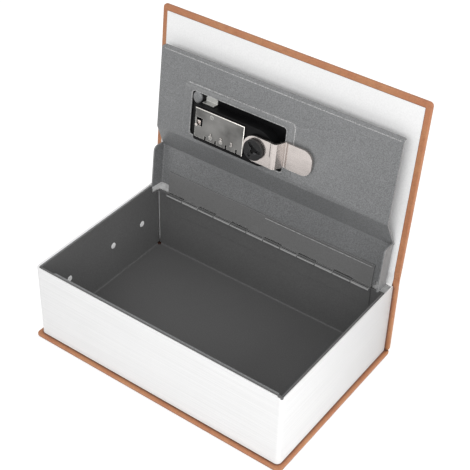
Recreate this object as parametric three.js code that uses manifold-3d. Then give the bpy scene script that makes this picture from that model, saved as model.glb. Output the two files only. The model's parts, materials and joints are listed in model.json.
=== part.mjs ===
// Book diversion safe: a hardcover book case, a white page block, a folded steel box
// with a piano-hinged steel lid, and a three-wheel combination lock with a turning cam.
// Sizes are in millimetres. X runs along the spine, +Y points to the spine, +Z is up.
// The book lies on its back cover with its front cover and its steel lid standing open.
// Inside the group, y is 0 at the page block's front face and z is 0 at its underside.

import * as THREE from 'three';
import { mergeVertices } from 'three/addons/utils/BufferGeometryUtils.js';
import Module from 'manifold-3d';

const wasm = await Module();
wasm.setup();

// Page block
const blockLength = 216;
const blockDepth = 140.4;
const blockHeight = 63;
const blockWall = 1.6;
const blockRearWall = 1.4;
const blockCornerRadius = 3.5;

// Book case
const overhang = 3;
const coreThickness = 2.1;
const clothThickness = 0.4;
const glueGap = 0.15;
const paperThickness = 0.3;
const paperGap = 0.1;
const turnIn = 14;
const paperBorder = 4.5;
const coverCornerRadius = 3;
const creaseRadius = 1.6;
const creaseWidth = 7;
const creaseWeb = 1.2;
const creaseClearance = 0.3;
const coverClearance = 0.4;
const seatGap = 0.05;

// Steel box
const sheet = 1;
const boxGap = 0.4;
const boxRearGap = 1.4;
const rimDrop = 0.3;
const bendRadius = 1.2;
const seamGap = 0.4;
const cornerReliefRadius = 2.2;
const wallHoleRadius = 2.9;
const wallHoleHeight = 32.5;
const wallHoleDepthShares = [0.22, 0.577, 0.826];
const studGap = 0.3;
const wallNotchRun = 7.4;
const wallNotchDrop = 8;

// Ledge on the front wall that the cam catches
const ledgeSheet = 1.2;
const ledgeReach = 12.5;
const ledgeLeftInset = 12.5;
const ledgeRightInset = 2.7;

// Piano hinge
const hingeLength = 186.4;
const hingeOffset = 0.9;
const hingeDrop = 7.1;
const knuckleCount = 12;
const knuckleRadius = 1.8;
const knuckleGap = 0.3;
const pinRadius = 0.8;
const pinGap = 0.2;
const leafThickness = 0.8;
const lidLeafWidth = 20.4;
const boxLeafWidth = 16;
const wallUnderAxis = 0.5;

// Steel lid
const lidSideGap = 2;
const lidFrontGap = 1;
const lidSeat = 0.3;
const panelStart = 3.2;
const panelLength = 42;
const flangeOverrun = 2;
const flangeCornerRadius = 4;
const lidCornerRelief = 4.5;
const stepRun = 21;
const stepDepth = 12;
const plateInset = 1.8;
const plateCornerRadius = 1.5;
const hemHeight = 3;
const pressDepth = 0.8;
const pressMargin = 6;
const pressEndMargin = 7.5;
const pressNearMargin = 2.8;
const pressCornerRadius = 4;
const cutoutLeftGap = 9.1;
const cutoutRightGap = 3.5;
const cutoutNearGap = 2.5;
const cutoutFarGap = 5;
const cutoutCornerRadius = 2.5;

// Lock body
const lockOffset = 5;
const lockAlong = 85.3;
const housingRadius = 14.2;
const leverBay = 16;
const housingWall = 1.8;
const housingFloor = 1;
const housingDepth = 8.7;
const housingCornerRadius = 1.5;
const lockGap = 0.3;
const bezelThickness = 2.5;
const bezelSkirt = 1.6;
const bezelLap = 4;
const bezelNearLap = 1.7;
const bezelCornerRadius = 3;
const backPlateThickness = 0.8;
const backPlateLength = 43;
const backPlateWidth = 23.4;
const backPlateInset = 1.5;
const backPlateNotch = 1.4;
const backPlateNotchDepth = 3;
const plateRingRadius = 1.5;
const plateRingBore = 0.8;
const plateRingHeight = 0.35;
const plateRingFromEdge = 3.4;
const leverSlotWidth = 5.6;

// Number wheels
const wheelCount = 3;
const wheelPitch = 9.3;
const wheelWidth = 7;
const wheelRadius = 6.3;
const wheelFluteRadius = 0.55;
const wheelFlutes = 10;
const wheelProud = 0.9;
const wheelRowShift = 3.2;
const lastWheelFromSpindle = 21.4;
const windowGap = 0.35;
const axleRadius = 1.2;
const axleGap = 0.25;
const sleeveRadius = 2.5;
const sleeveProud = 0.6;
const gateWidth = 1.2;

// Locking bar and wheel spring
const barThickness = 2.2;
const barHeight = 4;
const barFinger = 1.2;
const barFingerGap = 0.6;
const barTravel = 1;
const springThickness = 0.4;
const springWidth = 4;
const springBump = 0.9;

// Code-change lever
const leverLength = 5;
const leverWidth = 3.6;
const leverDepth = 4;
const leverNubRadius = 1.1;
const leverNubHeight = 2;
const leverTravel = 4;
const leverShift = 1.8;
const leverFromEdge = 2.2;

// Spindle, cam, end cap and knob
const spindleRadius = 3.5;
const spindleFlat = 2.6;
const camThickness = 2;
const camWidth = 20;
const camInnerReach = 15.5;
const camBendRun = 3;
const camRibWidth = 3.7;
const camRibHeight = 0.5;
const camRibRun = 1.2;
const camGrooveWidth = 1.7;
const camGrooveDepth = 0.6;
const camGrooveRun = 1;
const camReach = 43;
const camEndRadius = 8;
const camPlateGap = 2;
const capRadius = 8;
const capThickness = 2.2;
const capRecess = 1.2;
const capHubRadius = 3.4;
const capSlotWidth = 3;
const capSlotReach = 6.6;
const capSlots = 3;
const knobRadius = 9.5;
const knobBase = 2.4;
const knobHeight = 7;
const knobGripWidth = 5;
const knobFluteRadius = 0.8;
const knobFlutes = 16;

// Clip that holds the lock in the lid
const clipWidth = 10;
const clipThickness = 0.8;
const clipLeg = 5;
const clipFromLeft = 3.6;
const clipCornerRadius = 1.5;

// Angles in degrees, from lying shut
const lidOpenAngle = 96.5;
const coverOpenAngle = 95;

// One overrun serves every cut
const cutOver = 2;
const bendSteps = 4;
const arcSteps = 4;
const wideArcSteps = 12;
const roundSides = 24;
const studSides = 16;

// Values that follow from the sizes above
const coverThickness = coreThickness + 2 * (clothThickness + glueGap);
const halfCover = coverThickness / 2;
const paperStack = paperGap + paperThickness;
const backInnerZ = -(paperStack + seatGap);
const coverHalfLength = blockLength / 2 + overhang;
const spineMidY = blockDepth + seatGap + paperStack + halfCover + seatGap;
const creaseZ = blockHeight + coverClearance + paperStack + halfCover;
const coverReach = spineMidY + overhang;
const foldGap = creaseRadius + creaseClearance;
const coverStart = creaseWidth + foldGap;

const housingReach = lastWheelFromSpindle + (wheelCount - 1) * wheelPitch + leverBay;
const boxOuterHalf = blockLength / 2 - blockWall - boxGap;
const boxInnerHalf = boxOuterHalf - sheet;
const boxInnerFront = blockWall + boxGap + sheet;
const boxInnerRear = blockDepth - blockRearWall - boxRearGap - sheet;
const rimZ = blockHeight - rimDrop;

const axisY = boxInnerRear - knuckleRadius - seatGap;
const axisZ = blockHeight - hingeDrop;
const hingeLeft = -(hingeLength / 2 + hingeOffset);
const knucklePitch = hingeLength / knuckleCount;
const leafRelief = knuckleRadius + knuckleGap;

const panelUnder = knuckleRadius + lidSeat;
const panelMid = panelUnder + sheet / 2;
const plateMid = panelMid - stepDepth;
const plateUnder = plateMid - sheet / 2;
const plateTop = plateMid + sheet / 2;
const lidReach = axisY - boxInnerFront - ledgeSheet - seatGap - lidFrontGap;
const flangeOuter = boxInnerHalf - lidSideGap;
const plateHalf = flangeOuter - plateInset;
const flangeEnd = panelLength + flangeOverrun;

const ledgeTop = axisZ + plateUnder - lidSeat;

const cutoutLeft = lockOffset + housingReach + cutoutLeftGap;
const cutoutRight = housingRadius - lockOffset + cutoutRightGap;
const cutoutNear = lockAlong - housingRadius - cutoutNearGap;
const cutoutFar = lockAlong + housingRadius + cutoutFarGap;
const wheelRowAlong = lockAlong - wheelRowShift;
const leverAlong = lockAlong + leverShift - (leverLength + leverTravel) / 2;

const bezelUnder = plateTop - pressDepth + lockGap;
const bezelInside = bezelUnder + bezelSkirt;
const bezelTop = bezelInside + bezelThickness;
const housingTop = bezelUnder - lockGap;
const housingBack = plateUnder - housingDepth;
const housingLeft = -(lockOffset + housingReach);
const backPlateTop = housingBack - glueGap;
const backPlateUnder = backPlateTop - backPlateThickness;
const backPlateLeft = housingLeft + backPlateInset;

const wheelAxisZ = bezelTop + wheelProud - wheelRadius;
const wheelPlaces = Array.from(
  { length: wheelCount },
  (_, i) => -lockOffset - lastWheelFromSpindle - (wheelCount - 1 - i) * wheelPitch,
);
const bayLeft = wheelPlaces[0] - wheelPitch + wheelWidth / 4;
const bayRight = wheelPlaces[wheelCount - 1] + wheelPitch - wheelWidth / 4;
const bayNear = lockAlong - housingRadius + housingWall;
const bayFar = lockAlong + housingRadius - housingWall;

const camInnerTop = backPlateUnder - lockGap;
const camOuterTop = plateUnder - camPlateGap;
const capTop = camInnerTop - camThickness - lockGap;
const spindleBottom = capTop - capThickness / 2;
const knobUnder = bezelTop + lockGap;

// The finished object stands on the back cover, centred under its bounding box.
const leanOut = THREE.MathUtils.degToRad(coverOpenAngle - 90);
const backmostY = spineMidY + coverReach * Math.sin(leanOut) + halfCover * Math.cos(leanOut);
const centreY = (backmostY - overhang) / 2;
const undersideZ = backInnerZ - coverThickness;

const standard = (color, roughness, metalness) =>
  new THREE.MeshStandardMaterial({ color, roughness, metalness, flatShading: true });

const materials = {
  cloth: standard(0xc28352, 0.6, 0),
  core: standard(0x9a8f80, 0.9, 0),
  paper: standard(0xf4f4f2, 0.8, 0),
  pages: standard(0xf6f6f5, 0.75, 0),
  steel: standard(0x54565a, 0.55, 0.3),
  lid: standard(0x85878a, 0.5, 0.3),
  zinc: standard(0xa5a5a3, 0.4, 0.9),
  nickel: standard(0xc9c5c1, 0.25, 1),
  black: standard(0x17181a, 0.45, 0),
  dial: standard(0xb9b6ae, 0.35, 0.8),
  spring: standard(0x8f9294, 0.3, 1),
};

// Solids from closed three.js geometries, and back again
function solid(geometry) {
  const bare = geometry.clone();
  bare.deleteAttribute('normal');
  bare.deleteAttribute('uv');
  const merged = mergeVertices(bare);
  return new wasm.Manifold(new wasm.Mesh({
    numProp: 3,
    vertProperties: merged.attributes.position.array,
    triVerts: new Uint32Array(merged.index.array),
  }));
}

function geometryOf(body) {
  const mesh = body.getMesh();
  const geometry = new THREE.BufferGeometry();
  geometry.setAttribute('position', new THREE.BufferAttribute(mesh.vertProperties, 3));
  geometry.setIndex(new THREE.BufferAttribute(mesh.triVerts, 1));
  geometry.computeVertexNormals();
  return geometry;
}

function join(...geometries) {
  return geometries.map(solid).reduce((all, next) => all.add(next));
}

function cut(body, ...geometries) {
  return geometries.map(solid).reduce((rest, tool) => rest.subtract(tool), body);
}

// Outlines extruded along one axis, and blocks and rods between two ends
function alongX(outline, x0, x1, curveSegments = arcSteps) {
  const geometry = new THREE.ExtrudeGeometry(outline, {
    depth: x1 - x0,
    bevelEnabled: false,
    curveSegments,
  });
  return geometry.applyMatrix4(new THREE.Matrix4().set(
    0, 0, 1, x0,
    1, 0, 0, 0,
    0, 1, 0, 0,
    0, 0, 0, 1,
  ));
}

function alongY(outline, y0, y1, curveSegments = arcSteps) {
  const geometry = new THREE.ExtrudeGeometry(outline, {
    depth: y1 - y0,
    bevelEnabled: false,
    curveSegments,
  });
  return geometry.applyMatrix4(new THREE.Matrix4().set(
    1, 0, 0, 0,
    0, 0, -1, y1,
    0, 1, 0, 0,
    0, 0, 0, 1,
  ));
}

function alongZ(outline, z0, z1, curveSegments = arcSteps) {
  const geometry = new THREE.ExtrudeGeometry(outline, {
    depth: z1 - z0,
    bevelEnabled: false,
    curveSegments,
  });
  return geometry.translate(0, 0, z0);
}

function block(x0, x1, y0, y1, z0, z1) {
  const geometry = new THREE.BoxGeometry(x1 - x0, y1 - y0, z1 - z0);
  return geometry.translate((x0 + x1) / 2, (y0 + y1) / 2, (z0 + z1) / 2);
}

function rodX(radius, x0, x1, y, z, sides = roundSides) {
  const geometry = new THREE.CylinderGeometry(radius, radius, x1 - x0, sides);
  return geometry.rotateZ(Math.PI / 2).translate((x0 + x1) / 2, y, z);
}

function rodZ(radius, z0, z1, x, y, sides = roundSides) {
  const geometry = new THREE.CylinderGeometry(radius, radius, z1 - z0, sides);
  return geometry.rotateX(Math.PI / 2).translate(x, y, (z0 + z1) / 2);
}

// A block that tapers from one outline to another
function tapered(lower, z0, upper, z1) {
  const ring = (outline, z) => outline.getPoints(arcSteps).map((point) => [point.x, point.y, z]);
  return wasm.Manifold.hull([...ring(lower, z0), ...ring(upper, z1)]);
}

// Rectangle with round corners, as a shape
function roundedRect(x0, x1, y0, y1, radius) {
  const shape = new THREE.Shape();
  shape.absarc(x1 - radius, y1 - radius, radius, 0, Math.PI / 2);
  shape.absarc(x0 + radius, y1 - radius, radius, Math.PI / 2, Math.PI);
  shape.absarc(x0 + radius, y0 + radius, radius, Math.PI, 1.5 * Math.PI);
  shape.absarc(x1 - radius, y0 + radius, radius, 1.5 * Math.PI, 2 * Math.PI);
  shape.closePath();
  return shape;
}

// Outline of a bent sheet: its middle line runs through the corners, with round bends
function bentSheet(corners, thickness, insideRadius) {
  const bend = insideRadius + thickness / 2;
  const path = corners.map(([u, v]) => new THREE.Vector2(u, v));
  const stations = [];
  path.forEach((corner, i) => {
    const before = path[i - 1];
    const after = path[i + 1];
    if (!before || !after) {
      const run = before ? corner.clone().sub(before) : after.clone().sub(corner);
      run.normalize();
      stations.push([corner, new THREE.Vector2(-run.y, run.x)]);
      return;
    }
    const arriving = corner.clone().sub(before).normalize();
    const leaving = after.clone().sub(corner).normalize();
    const turn = Math.atan2(arriving.cross(leaving), arriving.dot(leaving));
    const normal = new THREE.Vector2(-arriving.y, arriving.x);
    const setback = bend * Math.tan(Math.abs(turn) / 2);
    const start = corner.clone().addScaledVector(arriving, -setback);
    const centre = start.clone().addScaledVector(normal, Math.sign(turn) * bend);
    for (let k = 0; k <= bendSteps; k += 1) {
      const angle = turn * k / bendSteps;
      stations.push([
        start.clone().rotateAround(centre, angle),
        normal.clone().rotateAround(new THREE.Vector2(), angle),
      ]);
    }
  });
  const side = (offset) => stations.map(([p, n]) => p.clone().addScaledVector(n, offset));
  return new THREE.Shape([...side(thickness / 2), ...side(-thickness / 2).reverse()]);
}

const book = new THREE.Group();
book.position.set(0, -centreY, -undersideZ);

const lid = new THREE.Group();
lid.position.set(0, axisY, axisZ);
lid.rotation.x = -THREE.MathUtils.degToRad(lidOpenAngle);
book.add(lid);

const frontCover = new THREE.Group();
frontCover.position.set(0, spineMidY, creaseZ);
frontCover.rotation.x = -THREE.MathUtils.degToRad(coverOpenAngle);
book.add(frontCover);

function addPart(parent, name, shape, material) {
  const geometry = shape.isBufferGeometry ? shape : geometryOf(shape);
  const mesh = new THREE.Mesh(geometry, material);
  mesh.name = name;
  parent.add(mesh);
  return mesh;
}

// Case boards: a grey core, the cloth wrapped round it, and the paper pasted inside.
// Each is built flat, round the middle of its thickness; inner is +1 or -1 along Z.
function boardOutline(y0, y1, inset) {
  return roundedRect(
    -coverHalfLength + inset,
    coverHalfLength - inset,
    y0 + inset,
    y1 - inset,
    Math.max(coverCornerRadius - inset, clothThickness),
  );
}

function boardCore(y0, y1) {
  return alongZ(boardOutline(y0, y1, clothThickness + glueGap), -coreThickness / 2, coreThickness / 2);
}

function boardCloth(y0, y1, inner) {
  const hollow = halfCover - clothThickness;
  const lips = [inner * hollow / 2, inner * (halfCover + cutOver)].sort((a, b) => a - b);
  const window = Math.min(turnIn, (y1 - y0) / 3);
  return cut(
    solid(alongZ(boardOutline(y0, y1, 0), -halfCover, halfCover)),
    alongZ(boardOutline(y0, y1, clothThickness), -hollow, hollow),
    alongZ(boardOutline(y0, y1, window), ...lips),
  );
}

function boardPaper(y0, y1, inner) {
  const near = inner * (halfCover + paperGap);
  const far = inner * (halfCover + paperStack);
  return alongZ(boardOutline(y0, y1, paperBorder), Math.min(near, far), Math.max(near, far));
}

function addBackBoard() {
  const y0 = -overhang;
  const y1 = spineMidY + halfCover;
  const z = backInnerZ - halfCover;
  addPart(book, 'back_board', boardCore(y0, y1), materials.core).position.z = z;
  addPart(book, 'back_cloth', boardCloth(y0, y1, 1), materials.cloth).position.z = z;
  addPart(book, 'back_endpaper', boardPaper(y0, y1, 1), materials.paper).position.z = z;
}

// The spine is built flat from its foot at y0 to its top at y1, then stood up:
// its inner face turns to the page block.
function addSpine() {
  const y0 = backInnerZ + seatGap;
  const y1 = creaseZ - foldGap;
  const stand = (mesh) => {
    mesh.rotation.x = Math.PI / 2;
    mesh.position.y = spineMidY;
  };
  stand(addPart(book, 'spine_board', boardCore(y0, y1), materials.core));
  stand(addPart(book, 'spine_cloth', boardCloth(y0, y1, 1), materials.cloth));
  stand(addPart(book, 'spine_lining', boardPaper(y0, y1, 1), materials.paper));
}

// The strip between spine and cover is thin, with a round fold along each edge
function addCrease() {
  const crease = join(
    rodX(creaseRadius, -coverHalfLength, coverHalfLength, 0, 0),
    rodX(creaseRadius, -coverHalfLength, coverHalfLength, -creaseWidth, 0),
    block(-coverHalfLength, coverHalfLength, -creaseWidth, 0, -creaseWeb / 2, creaseWeb / 2),
  );
  addPart(frontCover, 'cover_crease', crease, materials.cloth);
}

function addFrontCover() {
  const y0 = -coverReach;
  const y1 = -coverStart;
  addPart(frontCover, 'front_board', boardCore(y0, y1), materials.core);
  addPart(frontCover, 'front_cloth', boardCloth(y0, y1, -1), materials.cloth);
  addPart(frontCover, 'front_endpaper', boardPaper(y0, y1, -1), materials.paper);
}

// The page block is a thin ring; its two fore-edge corners are round. Studs on the inside
// of its side walls snap into the holes of the steel box and end level with the steel.
function addPageBlock() {
  const half = blockLength / 2;
  const radius = blockCornerRadius;
  const outer = new THREE.Shape();
  outer.moveTo(half, blockDepth);
  outer.lineTo(-half, blockDepth);
  outer.absarc(-half + radius, radius, radius, Math.PI, 1.5 * Math.PI);
  outer.absarc(half - radius, radius, radius, 1.5 * Math.PI, 2 * Math.PI);
  outer.closePath();
  const hollow = roundedRect(
    -half + blockWall,
    half - blockWall,
    blockWall,
    blockDepth - blockRearWall,
    radius - blockWall,
  );
  outer.holes.push(hollow);
  let ring = solid(alongZ(outer, 0, blockHeight));
  for (const share of wallHoleDepthShares) {
    for (const [x0, x1] of [[-half + blockWall / 2, -boxInnerHalf], [boxInnerHalf, half - blockWall / 2]]) {
      const stud = rodX(wallHoleRadius - studGap, x0, x1, share * blockDepth, wallHoleHeight, studSides);
      ring = ring.add(solid(stud));
    }
  }
  addPart(book, 'page_block', ring, materials.pages);
}

// The steel box is folded from one sheet: floor, front and rear walls in one bend line,
// the side walls between them, open seams and round reliefs at the corners. The side walls
// are notched beside the hinge.
function addSteelBox() {
  const mid = sheet / 2;
  const rearTop = axisZ - wallUnderAxis;
  const longBend = bentSheet([
    [boxInnerFront - mid, rimZ],
    [boxInnerFront - mid, mid],
    [boxInnerRear + mid, mid],
    [boxInnerRear + mid, rearTop],
  ], sheet, bendRadius);
  const sideBend = (side) => bentSheet([
    [side * (boxInnerHalf + mid), rimZ],
    [side * (boxInnerHalf + mid), mid],
    [side * (boxInnerHalf - panelLength), mid],
  ], sheet, bendRadius);
  const inset = boxInnerHalf - bendRadius - seamGap;
  const sideFront = boxInnerFront + seamGap;
  const sideRear = boxInnerRear - seamGap;
  let box = join(
    alongX(longBend, -inset, inset),
    alongY(sideBend(-1), sideFront, sideRear),
    alongY(sideBend(1), sideFront, sideRear),
  );
  const frontWall = block(
    -boxInnerHalf + seamGap, boxInnerHalf - seamGap,
    boxInnerFront - sheet, boxInnerFront,
    cornerReliefRadius, rimZ,
  );
  const rearWall = block(
    -boxInnerHalf + seamGap, boxInnerHalf - seamGap,
    boxInnerRear, boxInnerRear + sheet,
    cornerReliefRadius, rearTop,
  );
  box = box.add(solid(frontWall)).add(solid(rearWall));
  for (const x of [-boxInnerHalf, boxInnerHalf]) {
    for (const y of [boxInnerFront, boxInnerRear]) {
      box = cut(box, rodZ(cornerReliefRadius, -cutOver, sheet + bendRadius, x, y));
    }
  }
  const reach = boxOuterHalf + cutOver;
  box = cut(box, block(-reach, reach, boxInnerRear - wallNotchRun, boxInnerRear,
    rimZ - wallNotchDrop, rimZ + cutOver));
  for (const share of wallHoleDepthShares) {
    box = cut(box, rodX(wallHoleRadius, -reach, reach, share * blockDepth, wallHoleHeight, studSides));
  }
  addPart(book, 'steel_box', box, materials.steel);
}

function addLedge() {
  const mid = ledgeSheet / 2;
  const face = boxInnerFront + seatGap + mid;
  const outline = bentSheet([
    [face, rimZ],
    [face, ledgeTop - mid],
    [boxInnerFront + ledgeReach, ledgeTop - mid],
  ], ledgeSheet, ledgeSheet / 2);
  const left = -boxInnerHalf + ledgeLeftInset;
  const right = boxInnerHalf - ledgeRightInset;
  addPart(book, 'lock_ledge', alongX(outline, left, right), materials.lid);
}

// One leaf of the piano hinge. place turns (outward, towards the back) into a section
// point, so the same roll and strip serve the leaf on the box and the one on the lid.
function hingeLeaf(width, firstKnuckle, place) {
  const section = (points) => new THREE.Shape(points.map(([u, v]) => new THREE.Vector2(...place(u, v))));
  const inside = knuckleRadius - leafThickness;
  const strip = section([
    [leafRelief, inside],
    [width, inside],
    [width, knuckleRadius],
    [leafRelief, knuckleRadius],
  ]);
  const neck = section([
    [0, inside],
    [leafRelief + leafThickness, inside],
    [leafRelief + leafThickness, knuckleRadius],
    [0, knuckleRadius],
  ]);
  let leaf = solid(alongX(strip, hingeLeft, hingeLeft + hingeLength));
  for (let i = firstKnuckle; i < knuckleCount; i += 2) {
    const x0 = hingeLeft + i * knucklePitch + knuckleGap / 2;
    const x1 = x0 + knucklePitch - knuckleGap;
    leaf = leaf.add(join(rodX(knuckleRadius, x0, x1, 0, 0), alongX(neck, x0, x1)));
  }
  const bore = rodX(pinRadius + pinGap, hingeLeft - cutOver, hingeLeft + hingeLength + cutOver, 0, 0);
  return cut(leaf, bore);
}

function addPianoHinge() {
  const boxLeaf = hingeLeaf(boxLeafWidth, 0, (u, v) => [v, -u]);
  addPart(book, 'box_hinge_leaf', boxLeaf, materials.steel).position.set(0, axisY, axisZ);
  const lidLeaf = hingeLeaf(lidLeafWidth, 1, (u, v) => [-u, v]);
  addPart(lid, 'lid_hinge_leaf', lidLeaf, materials.lid);
  const pin = rodX(pinRadius, hingeLeft, hingeLeft + hingeLength, axisY, axisZ);
  addPart(book, 'hinge_pin', pin, materials.nickel);
}

// The lid is one pressed sheet: rear panel, slanted step, sunk front plate with a turned-up
// hem, two side flanges, and a pocket pressed inwards round the lock's cut-out.
function lidOutline() {
  const front = lidReach;
  const shape = new THREE.Shape();
  shape.moveTo(flangeOuter - bendRadius - sheet, -panelStart);
  shape.lineTo(-flangeOuter + bendRadius + sheet, -panelStart);
  shape.lineTo(-flangeOuter + bendRadius + sheet, -flangeEnd + cutOver);
  shape.lineTo(-flangeOuter, -flangeEnd + cutOver);
  shape.lineTo(-flangeOuter, -flangeEnd);
  shape.lineTo(-plateHalf, -panelLength - stepRun);
  shape.absarc(-plateHalf + plateCornerRadius, -front + plateCornerRadius, plateCornerRadius,
    Math.PI, 1.5 * Math.PI);
  shape.absarc(plateHalf - plateCornerRadius, -front + plateCornerRadius, plateCornerRadius,
    1.5 * Math.PI, 2 * Math.PI);
  shape.lineTo(plateHalf, -panelLength - stepRun);
  shape.lineTo(flangeOuter, -flangeEnd);
  shape.lineTo(flangeOuter, -flangeEnd + cutOver);
  shape.lineTo(flangeOuter - bendRadius - sheet, -flangeEnd + cutOver);
  shape.closePath();
  return shape;
}

function sideFlange(side) {
  const mid = flangeOuter - sheet / 2;
  const section = bentSheet([
    [side * mid, plateUnder],
    [side * mid, panelMid],
    [side * (mid - 3 * bendRadius - sheet), panelMid],
  ], sheet, bendRadius);
  const profile = roundedRect(
    -flangeEnd,
    -panelStart,
    plateUnder,
    panelMid + sheet + flangeCornerRadius,
    flangeCornerRadius,
  );
  const trim = alongX(profile, -boxOuterHalf, boxOuterHalf);
  return solid(alongY(section, -flangeEnd, -panelStart)).intersect(solid(trim));
}

function addLidPlate() {
  const reach = flangeOuter + cutOver;
  const longBend = bentSheet([
    [0, panelMid],
    [-panelLength, panelMid],
    [-panelLength - stepRun, plateMid],
    [-lidReach + sheet / 2, plateMid],
    [-lidReach + sheet / 2, plateTop + hemHeight],
  ], sheet, bendRadius);
  let plate = solid(alongX(longBend, -boxOuterHalf, boxOuterHalf));
  plate = plate.intersect(solid(alongZ(lidOutline(), plateUnder - cutOver, panelUnder + stepDepth)));
  plate = plate.add(sideFlange(-1)).add(sideFlange(1));
  const hingeEnd = hingeLength / 2 + hingeOffset + knuckleGap;
  for (const [x0, x1] of [[-reach, -hingeEnd], [hingeEnd, reach]]) {
    const corner = roundedRect(x0, x1, -panelStart - lidCornerRelief, cutOver, bendRadius);
    plate = cut(plate, alongZ(corner, plateUnder, panelUnder + stepDepth));
  }

  const pocket = (inset) => roundedRect(
    -cutoutLeft - pressEndMargin + inset,
    cutoutRight + pressEndMargin - inset,
    -cutoutFar - pressMargin + inset,
    -cutoutNear + pressNearMargin - inset,
    pressCornerRadius - inset,
  );
  const opening = roundedRect(-cutoutLeft, cutoutRight, -cutoutFar, -cutoutNear, cutoutCornerRadius);
  const mid = sheet / 2;
  plate = plate
    .add(tapered(pocket(pressDepth), plateUnder - pressDepth, pocket(-mid), plateUnder + mid))
    .subtract(tapered(pocket(pressDepth), plateTop - pressDepth, pocket(-cutOver), plateTop + cutOver));
  plate = cut(plate, alongZ(opening, plateUnder - cutOver, plateTop + cutOver));
  addPart(lid, 'lid_plate', plate, materials.lid);
}

// Lock housing: a cast body with a round end about the spindle and an open wheel bay
function housingOutline() {
  const shape = new THREE.Shape();
  const near = -lockAlong + housingRadius;
  const far = -lockAlong - housingRadius;
  const r = housingCornerRadius;
  shape.absarc(-lockOffset, -lockAlong, housingRadius, -Math.PI / 2, Math.PI / 2);
  shape.absarc(housingLeft + r, near - r, r, Math.PI / 2, Math.PI);
  shape.absarc(housingLeft + r, far + r, r, Math.PI, 1.5 * Math.PI);
  shape.closePath();
  return shape;
}

function addLockHousing() {
  const bay = block(bayLeft, bayRight, -bayFar, -bayNear, housingBack + housingFloor, housingTop + cutOver);
  const leverPocket = block(
    housingLeft + leverFromEdge - lockGap,
    housingLeft + leverFromEdge + leverWidth + lockGap,
    -leverAlong - leverLength - leverTravel - lockGap,
    -leverAlong + lockGap,
    housingBack - cutOver,
    housingBack + leverDepth + lockGap,
  );
  const axleHole = rodX(axleRadius + axleGap, bayLeft - 2 * housingWall, bayRight + 2 * housingWall,
    -wheelRowAlong, wheelAxisZ);
  const bore = rodZ(spindleRadius + lockGap, housingBack - cutOver, housingTop + cutOver,
    -lockOffset, -lockAlong);
  const housing = cut(
    solid(alongZ(housingOutline(), housingBack, housingTop, wideArcSteps)),
    bay,
    leverPocket,
    axleHole,
    bore,
  );
  addPart(lid, 'lock_housing', housing, materials.black);
}

function addBezel() {
  const near = -cutoutNear + bezelNearLap;
  const outline = roundedRect(
    -cutoutLeft - bezelLap,
    cutoutRight + bezelLap,
    -cutoutFar - bezelLap,
    near,
    bezelCornerRadius,
  );
  const hollow = block(bayLeft - 2 * housingWall, bayRight + 2 * housingWall, -bayFar, -bayNear,
    bezelUnder - cutOver, bezelInside);
  let bezel = cut(solid(alongZ(outline, bezelUnder, bezelTop)), hollow);
  const chord = Math.sqrt(wheelRadius ** 2 - (wheelAxisZ - bezelInside) ** 2);
  for (const x of wheelPlaces) {
    bezel = cut(bezel, block(
      x - wheelWidth / 2 - windowGap, x + wheelWidth / 2 + windowGap,
      -wheelRowAlong - chord - windowGap, -wheelRowAlong + chord + windowGap,
      bezelUnder - cutOver, bezelTop + cutOver,
    ));
  }
  bezel = cut(bezel, rodZ(spindleRadius + lockGap, bezelUnder - cutOver, bezelTop + cutOver,
    -lockOffset, -lockAlong));
  addPart(lid, 'lock_bezel', bezel, materials.black);
}

function addBackPlate() {
  const left = backPlateLeft;
  const right = left + backPlateLength;
  const mid = -lockAlong - (backPlateInset - lockGap) / 2;
  const near = mid + backPlateWidth / 2;
  const far = mid - backPlateWidth / 2;
  let plate = solid(alongZ(roundedRect(left, right, far, near, housingCornerRadius / 2),
    backPlateUnder, backPlateTop));
  const firstNotch = wheelPlaces[0] - wheelPitch / 2;
  for (let i = 0; i <= wheelCount; i += 1) {
    const x = firstNotch + i * wheelPitch;
    plate = cut(plate, block(
      x - backPlateNotch / 2, x + backPlateNotch / 2,
      near - backPlateNotchDepth, near + cutOver,
      backPlateUnder - cutOver, backPlateTop + cutOver,
    ));
  }
  const slotX = housingLeft + leverFromEdge + leverWidth / 2;
  plate = cut(plate, block(
    slotX - leverNubRadius - lockGap, slotX - leverNubRadius - lockGap + leverSlotWidth,
    -leverAlong - leverTravel - leverLength / 2 - leverNubRadius - lockGap,
    -leverAlong - leverLength / 2 + leverNubRadius + lockGap,
    backPlateUnder - cutOver, backPlateTop + cutOver,
  ));
  const rings = [
    [wheelPlaces[0], near - plateRingFromEdge],
    [wheelPlaces[1], near - plateRingFromEdge],
    [wheelPlaces[0], far + plateRingFromEdge],
  ];
  for (const [x, y] of rings) {
    plate = plate.add(cut(
      solid(rodZ(plateRingRadius, backPlateUnder - plateRingHeight, backPlateTop, x, y)),
      rodZ(plateRingBore, backPlateUnder - cutOver, backPlateUnder, x, y),
    ));
  }
  addPart(lid, 'lock_back_plate', plate, materials.zinc);
}

// Number wheels with ten flutes, each on its own code sleeve, all on one axle
function flutedWheel() {
  const outline = new THREE.Shape();
  const half = Math.asin(wheelFluteRadius / wheelRadius);
  for (let i = 0; i < wheelFlutes; i += 1) {
    const a = i * 2 * Math.PI / wheelFlutes;
    const next = a + 2 * Math.PI / wheelFlutes;
    const cx = wheelRadius * Math.cos(a);
    const cy = wheelRadius * Math.sin(a);
    outline.absarc(cx, cy, wheelFluteRadius, a + 1.5 * Math.PI, a + Math.PI / 2, true);
    outline.absarc(0, 0, wheelRadius, a + half, next - half);
  }
  outline.closePath();
  const disc = new THREE.ExtrudeGeometry(outline, {
    depth: wheelWidth,
    bevelEnabled: false,
    curveSegments: bendSteps,
  });
  disc.translate(0, 0, -wheelWidth / 2).rotateY(Math.PI / 2);
  return cut(solid(disc), rodX(sleeveRadius + axleGap, -wheelWidth, wheelWidth, 0, 0));
}

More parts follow.
